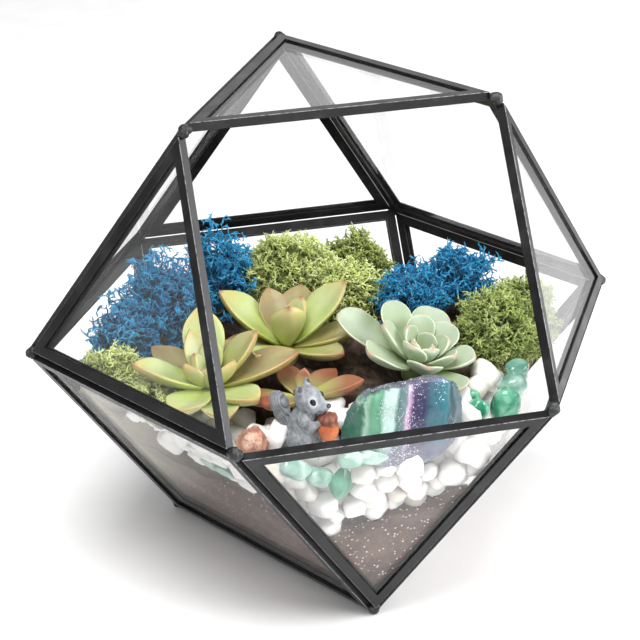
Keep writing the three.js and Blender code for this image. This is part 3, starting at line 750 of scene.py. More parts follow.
def sprigVariant(seed, form):
    # a forked sprig about form["length"] long, rooted at the origin and growing up
    rng = random.Random(seed)
    bm = bmesh.new()
    trunk = form["length"] * 0.42
    base, heading = Vector((0, 0, 0)), forkHeading(Vector((0, 0, 1)), rng.uniform(0, 12), rng)
    end, heading = growStrand(bm, base, heading, trunk, form["strand"], 2, form["curl"], rng)
    for _ in range(form["forks"]):
        start = end - heading * rng.uniform(0.1, 0.45) * trunk
        away = forkHeading(heading, rng.uniform(30, form["spread"]), rng)
        branch = form["length"] * rng.uniform(0.3, 0.42)
        tip, lean = growStrand(bm, start, away, branch, form["strand"] * 0.9, 2, form["curl"], rng)
        for _ in range(2):
            start = tip - lean * rng.uniform(0.15, 0.5) * branch
            away = forkHeading(lean, rng.uniform(25, form["spread"]), rng)
            twig = form["length"] * rng.uniform(0.16, 0.28)
            growStrand(bm, start, away, twig, form["strand"] * 0.8, 1, form["curl"], rng)
    bmesh.ops.recalc_face_normals(bm, faces=bm.faces)
    mesh = meshFrom(bm, "sprig")
    age = [min(1.0, max(0.0, v.co.length / form["length"])) for v in mesh.vertices]
    return mesh, age


def pressAgainstGlass(piece, wall):
    # keeps a piece the wall's thickness inside the panes, pressing back what reaches further
    points = np.empty(len(piece.data.vertices) * 3)
    piece.data.vertices.foreach_get("co", points)
    points = points.reshape(-1, 3)
    for _ in range(2):
        for normal, distance in vesselPlanes:
            n = np.array(normal)
            over = (points / mm - np.array(middle)) @ n - (distance - wall)
            points -= np.outer(np.maximum(over, 0), n) * mm
    piece.data.vertices.foreach_set("co", points.ravel())


def addCopy(bm, mesh, place):
    mesh.transform(place)
    bm.from_mesh(mesh)
    mesh.transform(place.inverted())


def mossCore(bm, lump, share, rng):
    x, y, z, rx, ry, rz = lump
    made = bmesh.ops.create_icosphere(bm, subdivisions=3, radius=1.0)
    offset = randomOffset(rng, 30)
    for vert in made["verts"]:
        rough = 1 + 0.3 * noise.noise(vert.co * 2.6 + offset)
        co = vert.co * rough * share
        vert.co = Vector((x + co.x * rx, y + co.y * ry, z + co.z * rz)) * mm
    return len(made["verts"])


# a sprig is rooted from just inside the core out to the outer share of the lump's radius
mossGrowth = {
    "variants": 8, "inner": 0.9, "outer": 0.86, "lowest": -0.55, "overlap": 0.5, "sizes": (0.75, 1.15),
}


def insideLump(point, lump, share):
    return math.hypot(*((p - c) / r for p, c, r in zip(point, lump, lump[3:]))) < share


def makeMoss(name, clump, material, node):
    rng = random.Random(clump["seed"])
    form = clump["form"]
    variants = [sprigVariant(clump["seed"] * 10 + i, form) for i in range(mossGrowth["variants"])]
    inner, outer = clump["core"] * mossGrowth["inner"], mossGrowth["outer"]
    bm = bmesh.new()
    facts = []
    for lump in clump["lumps"]:
        # the cores take the darkest shade: painted shade inside the clump
        facts += [(0.0, 0.2, 0.0)] * mossCore(bm, lump, clump["core"], rng)
    areas = [l[3] * l[4] + l[4] * l[5] + l[5] * l[3] for l in clump["lumps"]]
    for lump, area in zip(clump["lumps"], areas):
        centre, radii = Vector(lump[:3]), Vector(lump[3:])
        placed, wanted = 0, int(clump["sprigs"] * area / sum(areas))
        drift = randomOffset(rng, 50)
        tries = 0
        while placed < wanted and tries < wanted * 12:
            tries += 1
            out = randomAim(rng).normalized()
            if out.z < mossGrowth["lowest"]:
                continue
            swell = 1 + clump["lumpiness"] * noise.noise(out * 2.2 + drift)
            reach = rng.uniform(inner, outer) * swell
            root = centre + out * radii * reach
            if depthInside(root) < vessel["lining"] + 0.6 or root.z < mixHeight(root.x, root.y) - 1:
                continue
            others = (other for other in clump["lumps"] if other is not lump)
            inOther = any(insideLump(root, other, mossGrowth["overlap"]) for other in others)
            if inOther or noise.noise(root * 0.22 + drift) < clump["gaps"]:
                continue
            normal = Vector([o / r for o, r in zip(out, radii)]).normalized()
            heading = (normal + randomAim(rng) * clump["tangle"]).normalized()
            turn = heading.to_track_quat("Z", "Y").to_matrix().to_4x4()
            turn = turn @ Matrix.Rotation(rng.uniform(0, 6.28), 4, "Z")
            size = rng.uniform(*mossGrowth["sizes"])
            mesh, age = rng.choice(variants)
            addCopy(bm, mesh, Matrix.Translation(root * mm) @ turn @ Matrix.Scale(size * mm, 4))
            tint = rng.random()
            # how far out the sprig is rooted: the lichen's colour turns the lower values into painted shade
            deep = (reach / swell - inner) / (outer - inner)
            facts += [(a, tint, deep) for a in age]
            placed += 1
    piece = makePiece(bm, name, material, [node])
    pressAgainstGlass(piece, vessel["lining"] - 0.4)
    layerData = piece.data.attributes.new("sprig", "FLOAT_VECTOR", "POINT")
    layerData.data.foreach_set("vector", np.array(facts).ravel())
    piece.data.update()
    for mesh, _ in variants:
        bpy.data.meshes.remove(mesh)
    print(name, len(piece.data.polygons), "faces")


def mossMaterial(name, shades):
    # preserved reindeer lichen, dyed: matt hollow strands, pale at the tips, painted darker as shade towards
    # the roots and deep in the clump
    material, tree, surface, place = startMaterial(name, {
        "Roughness": 0.8, "Specular IOR Level": 0.25, "Sheen Weight": 0.15, "Subsurface Weight": 0.1,
        "Subsurface Radius": (0.6, 0.8, 0.6), "Subsurface Scale": 0.5 * mm,
    })
    age, tint, deep = mapParts(tree, "sprig")
    # the lower part of each strand and the sprigs rooted deeper are painted darker: painted shade
    out = addNode(tree, "Math", {0: deep, 1: 0.45, "operation": "MULTIPLY"})
    along = addNode(tree, "Math", {0: age, 1: 0.55, 2: out, "operation": "MULTIPLY_ADD"})
    body = addNode(tree, "ValToRGB", {"Fac": along, "stops": list(zip((0.2, 0.5, 0.78, 0.97), shades))})
    cloud = addNode(tree, "TexNoise", {"Vector": place, "Scale": 130.0, "Detail": 3.0})
    coats = [(cloud, 0.42, 0.7, 0.6, shades[1]), (tint, 0.5, 1.0, 0.35, shades[4])]
    layered(tree, body, coats, surface["Base Color"])
    return material


curlyForm = {"length": 8.2, "strand": 0.38, "curl": 42, "forks": 3, "spread": 70}
coralForm = {"length": 6.2, "strand": 0.36, "curl": 24, "forks": 3, "spread": 60}
curlyClump = {"form": curlyForm, "lumpiness": 0.4, "gaps": -0.16, "tangle": 0.6}
coralClump = {"form": coralForm, "core": 0.6, "lumpiness": 0.3, "gaps": -0.24, "tangle": 0.45}
clumps = {
    "mossBlueLeft": curlyClump | {
        "seed": 11, "sprigs": 1900, "core": 0.42,
        "lumps": [(-62, 4, 103, 18, 17, 25), (-79, -10, 97, 14, 14, 18), (-38, 18, 106, 16, 15, 23)],
    },
    "mossBlueRight": curlyClump | {
        "seed": 12, "sprigs": 1200, "core": 0.34, "gaps": -0.12,
        "lumps": [(33, -5, 98, 15, 14, 16), (54, 2, 100, 17, 13, 16)],
    },
    "mossLimeCentre": coralClump | {
        "seed": 13, "sprigs": 1900, "lumps": [(-9, 21, 103, 21, 17, 19), (9, 4, 98, 15, 15, 17)],
    },
    "mossOliveBack": coralClump | {
        "seed": 14, "sprigs": 950, "core": 0.5, "lumpiness": 0.4, "gaps": -0.16,
        "lumps": [(21, 34, 96, 16, 14, 16)],
    },
    "mossLimeRight": coralClump | {
        "seed": 15, "sprigs": 1800, "lumps": [(57, -34, 93, 18, 15, 18), (73, -21, 92, 14, 13, 18)],
    },
    "mossLimeLeft": coralClump | {
        "seed": 16, "sprigs": 1400, "tangle": 0.5,
        "lumps": [(-86, -26, 90, 15, 14, 14), (-76, -42, 84, 14, 13, 12)],
    },
}
blueMoss = mossMaterial("blueDyedLichen", ["#022636", "#0f86bb", "#43bde8", "#a8eafc", "#12a0d6"])
limeMoss = mossMaterial("limeDyedLichen", ["#3c481c", "#cbd97e", "#f0f8b6", "#feffe0", "#d6e274"])
# a darker copy of the lime lichen for the right-hand clump: painted shade against the right-hand lamp's light
paintedShadeLimeMoss = mossMaterial("shadedLimeDyedLichen", ["#232c0e", "#94a652", "#c0ce80", "#e8f2bc", "#a4b44c"])
oliveMoss = mossMaterial("oliveDyedLichen", ["#2b3412", "#93a44c", "#c3d27c", "#e4eeaa", "#a8a44a"])
for name, stuff, slot, node in (
    ("mossBlueLeft", blueMoss, "blue_moss", "moss_blue_left"),
    ("mossBlueRight", blueMoss, "blue_moss", "moss_blue_right"),
    ("mossLimeCentre", limeMoss, "lime_moss", "moss_lime_centre"),
    ("mossOliveBack", oliveMoss, "olive_moss", "moss_olive_back"),
    ("mossLimeRight", paintedShadeLimeMoss, "lime_moss", "moss_lime_right"),
    ("mossLimeLeft", limeMoss, "lime_moss", "moss_lime_left"),
):
    makeMoss(name, clumps[name], stuff, node)
print("moss planted")


greenStones = {
    "drop": [(-16.5, -83.5, 68.6, 5.0, 3.2, 7.0, 8)],
    "front": [(-33, -86.0, 78.5, 5.6, 2.8, 3.6, 28), (-24.6, -84.6, 73.4, 4.6, 3.0, 3.4, 10)],
    "middle": [(-13.8, -86.4, 79.4, 4.6, 2.8, 2.8, -6), (-5.5, -85.0, 78.6, 5.6, 2.6, 2.6, 4)],
    "right": [
        (48.5, -70.0, 83.0, 5.2, 4.6, 6.6, 14), (36.5, -74.5, 85.2, 3.6, 3.2, 4.2, 25),
        (37, -67, 86.5, 2.6, 2.4, 2.6, 0),
    ],
    "rightPale": [(54, -62.5, 86, 5.2, 4.8, 4.4, -20), (57.5, -56.5, 89, 4.4, 4.2, 4.0, 10)],
}
pebbles = {
    "spacing": 8.1, "radius": 4.35, "relax": 14, "rightEdge": 72.0, "rightFall": 12.0,
    "blockSides": (-15, 27), "blockBack": -72, "blockFoot": 74.5,
    # greenish ones lie against the left-hand pane
    "greenish": [(-60, -52, 64), (-54, -58, 60), (-47, -65, 60), (-66, -48, 69)],
    # single ones thrown behind the squirrel, beside the fluorite and into a hollow by the left-hand pane
    "strays": [
        (-10, -67, 84.5), (-12.5, -60.5, 87), (-4.5, -64.5, 85.5), (-18, -66.5, 85), (-36.5, -73, 85),
        (-42.5, -70.5, 86), (31.5, -74, 84.5), (33.5, -66.5, 86.5), (40, -60, 86), (46.5, -54, 86.5),
        (-27, -67.5, 85.5), (2.5, -66, 86),
        (-60.5, -58.5, 76.0), (-59.5, -51, 71.0), (-56.5, -51, 65.0), (-57.5, -62.5, 72.5),
        (-54.5, -58, 63.5),
    ],
}


def bedTop(x, y):
    # level, but falling away where the bed runs out towards the right-hand pane
    towardsRight = x * math.cos(math.radians(30)) - y * 0.5
    edge = pebbles["rightEdge"]
    return bed["level"] - pebbles["rightFall"] * smoothStep(towardsRight, edge, edge + 7)


def inBed(point, margin):
    x, y, z = point
    if x < bed["leftEnd"] or y > bedFrontAt(x) - margin * 0.4:
        return False
    if z > bedTop(x, y) - margin * 0.5 or z < soilHeight(x, y) + margin * 0.7:
        return False
    return depthInside(point) > vessel["lining"] + margin * 0.94


def nearStone(point, margin):
    # true inside a green stone or the fluorite, or squeezed between one of them and the glass
    x, y, z = point
    left, right = pebbles["blockSides"]
    if left < x < right and y < pebbles["blockBack"] and z > pebbles["blockFoot"] - margin * 0.3:
        return True
    for stones in greenStones.values():
        for sx, sy, sz, rx, ry, rz, _ in stones:
            deep = 1.0 if y > sy else 0.25  # what would stand in front of a stone goes too
            swell = margin * 0.62
            away = ((x - sx) / (rx + swell), (y - sy) * deep / (ry + swell), (z - sz) / (rz + swell))
            if math.hypot(*away) < 1:
                return True
    return False


def pebblePlaces(rng):
    # a jittered stack filling the bed, then nudged apart until no two are closer than the spacing
    gap = pebbles["spacing"]
    places = []
    rows = int(210 / gap)
    for k in range(8):
        for i in range(rows):
            for j in range(int(120 / (gap * 0.87))):
                x = -100 + i * gap + (j % 2) * gap / 2 + (k % 2) * gap * 0.4
                y = -100 + j * gap * 0.87 + (k % 2) * gap * 0.45
                z = soilHeight(x, y) + 3.9 + k * gap * 0.82
                place = Vector((x, y, z)) + Vector([rng.uniform(-1.6, 1.6) for _ in range(3)])
                if inBed(place, pebbles["radius"]) and not nearStone(place, pebbles["radius"]):
                    places.append(place)
    for _ in range(pebbles["relax"]):
        tree = kdtree.KDTree(len(places))
        for index, place in enumerate(places):
            tree.insert(place, index)
        tree.balance()
        moved = []
        for index, place in enumerate(places):
            push = Vector((0, 0, -0.12))
            for co, other, distance in tree.find_range(place, gap):
                if other != index and distance > 1e-6:
                    push += (place - co) / distance * (gap - distance) * 0.5
            step = place + push * 0.6
            free = inBed(step, pebbles["radius"]) and not nearStone(step, pebbles["radius"])
            moved.append(step if free else place)
        places = moved
    return places + [Vector(place) for place in pebbles["strays"]]


def pebbleVariant(seed):
    # a cube rounded into a tumbled pebble, with soft flats and hollows
    rng = random.Random(seed)
    bm = bmesh.new()
    bmesh.ops.create_cube(bm, size=2.0)
    bmesh.ops.subdivide_edges(bm, edges=bm.edges[:], cuts=2, use_grid_fill=True)
    offset = randomOffset(rng, 60)
    stretch = Vector((rng.uniform(0.95, 1.3), rng.uniform(0.85, 1.05), rng.uniform(0.62, 0.85)))
    for vert in bm.verts:
        out = vert.co.normalized()
        power = (abs(out.x) ** 3.2 + abs(out.y) ** 3.2 + abs(out.z) ** 3.2) ** (-1 / 3.2)
        lumpy = 1 + 0.34 * noise.noise(out * 0.9 + offset) + 0.13 * noise.noise(out * 2.1 + offset)
        vert.co = out * stretch * power * lumpy
    return meshFrom(bm, "pebble")


def pebbleMaterial():
    # tumbled white marble: chalky smooth skin, faint cool and warm stones among them, light let in a little
    material, tree, surface, place = startMaterial("tumbledWhiteMarble", {
        "Roughness": 0.45, "Subsurface Weight": 0.15, "Subsurface Radius": (1, 0.95, 0.9),
        "Subsurface Scale": 1.2 * mm,
    })
    own = addNode(tree, "Attribute", {"attribute_name": "stone"}).node.outputs["Fac"]
    cloud = addNode(tree, "TexNoise", {"Vector": place, "Scale": 160.0, "Detail": 4.0})
    tones = [(0.0, "#eeedeb"), (0.75, "#e8e6e3"), (0.88, "#dfdad3"), (0.94, "#d2cabd"), (0.99, "#93b9a6")]
    stone = addNode(tree, "ValToRGB", {"Fac": own, "stops": tones})
    layered(tree, stone, [(cloud, 0.45, 0.7, 0.4, "#f4f3f2")], surface["Base Color"])
    addNode(tree, "Bump", {"Height": cloud, "Strength": 0.2, "Distance": 0.5 * mm}, surface["Normal"])
    return material


def makePebbles():
    rng = random.Random(21)
    variants = [pebbleVariant(200 + i) for i in range(7)]
    bm = bmesh.new()
    own = []
    for place in pebblePlaces(rng):
        mesh = rng.choice(variants)
        size = pebbles["radius"] * rng.choice([0.8, 0.95, 1.0, 1.08, 1.18])
        turn = Matrix.Rotation(rng.uniform(0, 6.28), 4, "Z") @ Matrix.Rotation(rng.gauss(0, 0.5), 4, "X")
        turn = turn @ Matrix.Rotation(rng.gauss(0, 0.5), 4, "Y")
        addCopy(bm, mesh, Matrix.Translation(place * mm) @ turn @ Matrix.Scale(size * mm, 4))
        greenish = any((place - Vector(spot)).length < 5.5 for spot in pebbles["greenish"])
        own += [1.0 if greenish else 0.94 * rng.random()] * len(mesh.vertices)
    piece = makePiece(bm, "pebbleBed", pebbleMaterial(), ["pebble_bed"])
    pressAgainstGlass(piece, vessel["lining"] - 0.3)
    piece.data.attributes.new("stone", "FLOAT", "POINT").data.foreach_set("value", own)
    piece.data.update()
    for mesh in variants:
        bpy.data.meshes.remove(mesh)
    print("pebbles:", len(piece.data.polygons) // 54)


makePebbles()


def makeStones(name, stones, shape, material, node):
    # each stone [x, y, z, radius x, y, z, turn] is a rounded, slightly dented chip
    rng = random.Random(name)
    bm = bmesh.new()
    for x, y, z, rx, ry, rz, turn in stones:
        made = bmesh.ops.create_icosphere(bm, subdivisions=shape["detail"], radius=1.0)
        offset = randomOffset(rng, 60)
        place = Matrix.Translation((x, y, z)) @ Matrix.Rotation(math.radians(turn), 4, "Y")
        for vert in made["verts"]:
            out = vert.co.normalized()
            box = sum(abs(c) ** shape["square"] for c in out) ** (-1 / shape["square"])
            dent = 1 + shape["dent"] * noise.noise(out * 1.1 + offset)
            dent += shape["grain"] * noise.noise(out * 5 + offset)
            vert.co = place @ (out * Vector((rx, ry, rz)) * box * dent) * mm
    piece = makePiece(bm, name, material, [node])
    pressAgainstGlass(piece, vessel["lining"] - 0.3)


def greenStoneMaterial(name, shades):
    # wet tumbled aventurine: a clouded body that lets light in under a glassy skin
    material, tree, surface, place = startMaterial(name, {
        "Roughness": 0.16, "Coat Weight": 0.6, "Coat Roughness": 0.06, "Subsurface Weight": 0.5,
        "Subsurface Radius": (0.5, 1.0, 0.8), "Subsurface Scale": 2.5 * mm,
    })
    cloud = addNode(tree, "TexNoise", {"Vector": place, "Scale": 110.0, "Detail": 4.0, "Distortion": 0.6})
    stops = list(zip((0.32, 0.48, 0.64), shades))
    addNode(tree, "ValToRGB", {"Fac": cloud, "stops": stops}, surface["Base Color"])
    addNode(tree, "Bump", {"Height": cloud, "Strength": 0.15, "Distance": 0.5 * mm}, surface["Normal"])
    return material


def roughStoneMaterial():
    # weathered red sandstone chip: warm pink-brown, with dark pits
    material, tree, surface, place = startMaterial("weatheredSandstone", {"Roughness": 0.85})
    cloud = addNode(tree, "TexNoise", {"Vector": place, "Scale": 200.0, "Detail": 6.0})
    pits = addNode(tree, "TexVoronoi", {"Vector": place, "Scale": 900.0})
    body = addNode(tree, "ValToRGB", {
        "Fac": cloud, "stops": [(0.3, "#8b5a45"), (0.5, "#b98a74"), (0.7, "#dcb9a6")],
    })
    layered(tree, body, [(pits, 0.28, 0.1, 0.7, "#4a2c20")], surface["Base Color"])
    addNode(tree, "Bump", {"Height": pits, "Strength": 0.5, "Distance": 0.4 * mm}, surface["Normal"])
    return material


chip = {"detail": 4, "square": 2.4, "dent": 0.2, "grain": 0.015}
pointedChip = {"detail": 4, "square": 1.3, "dent": 0.1, "grain": 0.01}
roughPair = [(-47.5, -78, 87, 4.2, 4.0, 5.4, 20), (-45.5, -75.5, 85, 4.8, 4.6, 4.4, -30)]
crag = {"detail": 5, "square": 2.3, "dent": 0.4, "grain": 0.09}
green = greenStoneMaterial("deepGreenAventurine", ["#0f6a48", "#338f6c", "#7cc0a2"])
paleGreen = greenStoneMaterial("paleGreenAventurine", ["#578c7a", "#84ad9d", "#b2ccc2"])
for name, which, shape, node, stuff in (
    ("greenStoneDrop", "drop", pointedChip, "green_stone_drop", green),
    ("greenStonesFront", "front", chip, "green_stones_front", paleGreen),
    ("greenStoneMiddle", "middle", chip, "green_stone_middle", paleGreen),
    ("greenStonesRight", "right", chip, "green_stones_right", green),
    ("greenStonesRightPale", "rightPale", chip, "green_stones_right", paleGreen),
):
    makeStones(name, greenStones[which], shape, stuff, node)
makeStones("roughStones", roughPair, crag, roughStoneMaterial(), "rough_stone")
print("stones set")


fluorite = {
    "front": -86.0, "depth": 13.0, "voxel": 0.5, "leftArris": -4.6, "rightArris": 21.5, "backFall": 0.42,
    "bands": (-20.4, 18.6),
    "outline": [
        (-13.6, 80.2), (-12.9, 86), (-11, 90.6), (-8.4, 98.2), (-6.8, 102), (-5, 104), (0, 105),
        (4.3, 105.4), (8, 105.2), (15.1, 106.2), (20, 106), (24, 103.8), (26.2, 99.5), (27.2, 92.8),
        (27.6, 84.7), (24.5, 79.3), (18.2, 75), (14.5, 73.2), (0, 73.4), (-9, 76.2),
    ],
}


def remeshed(bm, voxel):
    # joins overlapping closed forms into one skin
    mesh = meshFrom(bm, "rough")
    holder = bpy.data.objects.new("rough", mesh)
    bpy.context.scene.collection.objects.link(holder)
    change = holder.modifiers.new("skin", "REMESH")
    change.mode = "VOXEL"
    change.voxel_size = voxel * mm
    skin = bpy.data.meshes.new_from_object(holder.evaluated_get(bpy.context.evaluated_depsgraph_get()))
    bpy.data.objects.remove(holder)
    bpy.data.meshes.remove(mesh)
    joined = bmesh.new()
    joined.from_mesh(skin)
    bpy.data.meshes.remove(skin)
    return joined


def smoothSkin(bm, factor, rounds):
    for _ in range(rounds):
        bmesh.ops.smooth_vert(
            bm, verts=bm.verts, factor=factor, use_axis_x=True, use_axis_y=True, use_axis_z=True,
        )
    bm.normal_update()


def makeFluorite(material):
    bm = bmesh.new()
    outline = [bm.verts.new(Vector((x, fluorite["front"], z)) * mm) for x, z in fluorite["outline"]]
    face = bm.faces.new(outline)
    deep = bmesh.ops.extrude_face_region(bm, geom=[face])["geom"]
    moved = [v for v in deep if isinstance(v, bmesh.types.BMVert)]
    bmesh.ops.translate(bm, vec=Vector((0, fluorite["depth"], 0)) * mm, verts=moved)
    bmesh.ops.recalc_face_normals(bm, faces=bm.faces)
    rims = [e for e in bm.edges if abs(e.verts[0].co.y - e.verts[1].co.y) < 1e-6]
    bmesh.ops.bevel(bm, geom=rims, offset=1.5 * mm, segments=3, profile=0.5, affect="EDGES", material=-1)
    bm = remeshed(bm, fluorite["voxel"])
    for vert in bm.verts:
        # the top falls away to the back and both ends are cleaved back at a slant
        x, y, z = vert.co / mm
        back = y - fluorite["front"]
        nearFront = max(0.0, 1 - back / fluorite["depth"])
        cleft = max(0.0, fluorite["leftArris"] - x) * 0.8 + max(0.0, x - fluorite["rightArris"]) * 0.9
        fall = fluorite["backFall"] * back * smoothStep(z, 88, 103)
        slide = cleft * nearFront
        vert.co = Vector((x + 0.25 * slide, y + slide, z - fall)) * mm
    bm.normal_update()
    for vert in bm.verts:
        p = vert.co / mm
        facets = noise.voronoi(Vector((p.x * 0.13, p.y * 0.2, p.z * 0.1)) + Vector((3, 1, 7)))[0][0]
        chipped = noise.cell(Vector((p.x * 0.55 + p.z * 0.1, p.y * 0.7, p.z * 0.35))) - 0.5
        fine = noise.noise(p * 0.9)
        top = max(0.0, vert.normal.z)
        vert.co += vert.normal * (1.6 * (facets - 0.4) + (0.12 + 0.35 * top) * chipped + 0.22 * fine) * mm
    smoothSkin(bm, 0.3, 1)
    makePiece(bm, "fluorite", material, ["fluorite"])


def fluoriteMaterial():
    # split fluorite: glassy, clouded and cleaved inside, banded from sea green through violet to teal
    material, tree, surface, place = startMaterial("bandedFluorite", {
        "Roughness": 0.2, "IOR": 1.43, "Coat Weight": 0.5, "Coat Roughness": 0.08, "Subsurface Weight": 0.35,
        "Subsurface Radius": (0.6, 0.9, 1.0), "Subsurface Scale": 2.5 * mm,
    })
    wobble = addNode(tree, "TexNoise", {"Vector": place, "Scale": 90.0, "Detail": 4.0})
    axes = addNode(tree, "SeparateXYZ", {0: place}).node.outputs
    # the bands lean a little and wander by about 2 mm
    lean = addNode(tree, "Math", {0: axes["Z"], 1: -0.1, 2: axes["X"], "operation": "MULTIPLY_ADD"})
    wander = addNode(tree, "Math", {0: wobble, 1: 5 * mm, 2: lean, "operation": "MULTIPLY_ADD"})
    left, right = fluorite["bands"]
    across = addNode(tree, "MapRange", {0: wander, 1: left * mm, 2: right * mm})
    # the thin pale line at 0.15, inside the green band, is a painted highlight
    bands = addNode(tree, "ValToRGB", {
        "Fac": across,
        "stops": [
            (0.0, "#34695a"), (0.13, "#447c66"), (0.15, "#b4dcc8"), (0.18, "#72b090"), (0.27, "#4f8c70"),
            (0.31, "#a9c9bd"), (0.4, "#b4cdc6"), (0.43, "#4f7472"), (0.5, "#6c8388"), (0.52, "#cdb2c8"),
            (0.55, "#8c6a98"), (0.57, "#3b3056"), (0.68, "#2f3158"), (0.72, "#28586a"), (0.88, "#2c7480"),
            (0.94, "#234650"), (1.0, "#455f68"),
        ],
    })
    # a dull crust on the broken top and low down at the front; on the top it follows the upward-facing
    # surfaces, partly the stone's rind and partly painted shade
    facing = addNode(tree, "NewGeometry").node.outputs["Normal"]
    upward = addNode(tree, "SeparateXYZ", {0: facing}).node.outputs["Z"]
    low = addNode(tree, "MapRange", {0: axes["Z"], 1: 84 * mm, 2: 79 * mm})
    crustAndShade = addNode(tree, "Math", {
        0: addNode(tree, "MapRange", {0: upward, 1: 0.3, 2: 0.75, 4: 0.85}),
        1: addNode(tree, "Math", {0: low, 1: 0.82, "operation": "MULTIPLY"}), "operation": "MAXIMUM",
    })
    rind = addNode(tree, "ValToRGB", {"Fac": wobble, "stops": [(0.35, "#35334a"), (0.6, "#68657e")]})
    crustedAndShaded = addNode(tree, "Mix", {"data_type": "RGBA", 0: crustAndShade, 6: bands, 7: rind})
    # cleavage flecks of about 0.4 mm, painted near white as glints of light, thickest in the pale and violet
    # bands
    cells = addNode(tree, "TexVoronoi", {"Vector": place, "Scale": 3400.0})
    where = addNode(tree, "ValToRGB", {
        "Fac": across,
        "stops": [
            (0.2, "#000000"), (0.32, "#ffffff"), (0.44, "#b0b0b0"), (0.56, "#ffffff"), (0.66, "#d0d0d0"),
            (0.72, "#404040"), (1.0, "#303030"),
        ],
    })
    pick = addNode(tree, "Math", {
        0: addNode(tree, "SeparateColor", {"Color": cells.node.outputs["Color"]}),
        1: addNode(tree, "MapRange", {0: wobble, 1: 0.35, 2: 0.7, 3: -0.08, 4: 0.08}), "operation": "ADD",
    })
    chance = addNode(tree, "Math", {0: where, 1: 0.12, 2: pick, "operation": "MULTIPLY_ADD"})
    # the near-white flecks are painted glints
    layered(tree, crustedAndShaded, [(chance, 0.99, 1.04, 0.85, "#f2f6f6")], surface["Base Color"])
    addNode(tree, "Bump", {"Height": cells, "Strength": 0.35, "Distance": 0.35 * mm}, surface["Normal"])
    return material


makeFluorite(fluoriteMaterial())
print("fluorite cleaved")


figurine = {
    "place": (-28, -77, 80.6), "facing": -38, "tall": 1.1, "voxel": 0.27,
    # closed forms [x, y, z, radius x, y, z, pitch], facing +x; those with y are mirrored to the other side
    "body": [
        (0.2, 0, 8.4, 5.6, 5.3, 7.4, 6), (1.5, 0, 12.4, 4.0, 4.4, 4.0, 0), (0.0, 0, 4, 5.4, 5.3, 4.2, 0),
        (0.0, 3.3, 4.8, 5.2, 2.9, 4.6, 12), (3.9, 3.0, 1.2, 3.7, 1.6, 1.3, 0),
        (6.6, 3.1, 1.0, 1.4, 1.6, 0.95, 0), (2.0, 3.9, 12.4, 2.4, 1.9, 2.6, 30),
        (4.4, 3.6, 11.0, 2.8, 1.5, 1.6, 8), (6.8, 2.8, 11.6, 2.0, 1.2, 1.2, -25),
        (8.2, 2.1, 12.6, 1.1, 0.9, 0.9, 0),
    ],
    "head": [
        (2.4, 0, 18.4, 5.0, 4.5, 4.6, 8), (4.2, 2.1, 17.2, 3.0, 2.6, 2.9, 0),
        (6.4, 0, 17.1, 3.3, 2.5, 2.5, 14), (8.4, 0, 16.7, 1.8, 1.65, 1.45, 14),
        (6.2, 0, 14.8, 2.2, 1.5, 1.0, 4), (3.6, 1.9, 20.7, 2.2, 1.4, 1.3, 10),
        (0.4, 3.2, 21.8, 1.5, 1.5, 1.9, -8), (0.3, 3.5, 22.7, 1.15, 1.35, 1.35, -14),
    ],
    "tail": [
        (-3.0, 0, 2.8, 2.6, 2.3, 2.2, 0), (-4.8, 0, 4.2, 2.4, 2.3, 2.5, 20),
        (-6.0, 0, 6.8, 2.3, 2.5, 3.0, 0), (-7.0, 0, 9.6, 2.6, 2.7, 3.2, 0),
        (-7.9, 0, 12.4, 3.1, 3.0, 3.2, 0), (-8.7, 0, 15.0, 3.5, 3.2, 3.4, 0),
        (-9.5, 0, 16.6, 2.9, 2.9, 2.6, 0),
    ],
    "eye": (5.5, 3.3, 19.0, 1.2, 0.9, 1.2, 0), "nose": (10.0, 0, 17.3, 0.8, 1.05, 0.75, 0),
}
acorn = {
    "nut": (9.6, 0, 9.2, 3.7, 3.7, 4.6, 0), "point": (9.7, 0, 4.8, 0.8, 0.8, 0.9, 0),
    "cup": (9.3, 0, 12.7, 3.6, 3.6, 1.7, -8), "stem": (9.0, 0, 14.5, 0.6, 0.6, 1.0, -8), "voxel": 0.22,
}


def addForm(bm, form, segments=(24, 16)):
    x, y, z, rx, ry, rz, pitch = form
    lean = Matrix.Translation(Vector((x, y, z)) * mm) @ Matrix.Rotation(math.radians(pitch), 4, "Y")
    matrix = lean @ Matrix.Diagonal((rx * mm, ry * mm, rz * mm, 1))
    around, upward = segments
    made = bmesh.ops.create_uvsphere(bm, u_segments=around, v_segments=upward, radius=1.0, matrix=matrix)
    return made["verts"]


def bothSides(forms):
    for form in forms:
        yield form
        if form[1] > 0:
            yield (form[0], -form[1], form[2]) + form[3:]


def nearSegment(point, a, b):
    a, b = Vector(a), Vector(b)
    t = max(0, min(1, (point - a).dot(b - a) / (b - a).length_squared))
    return (point - a.lerp(b, t)).length


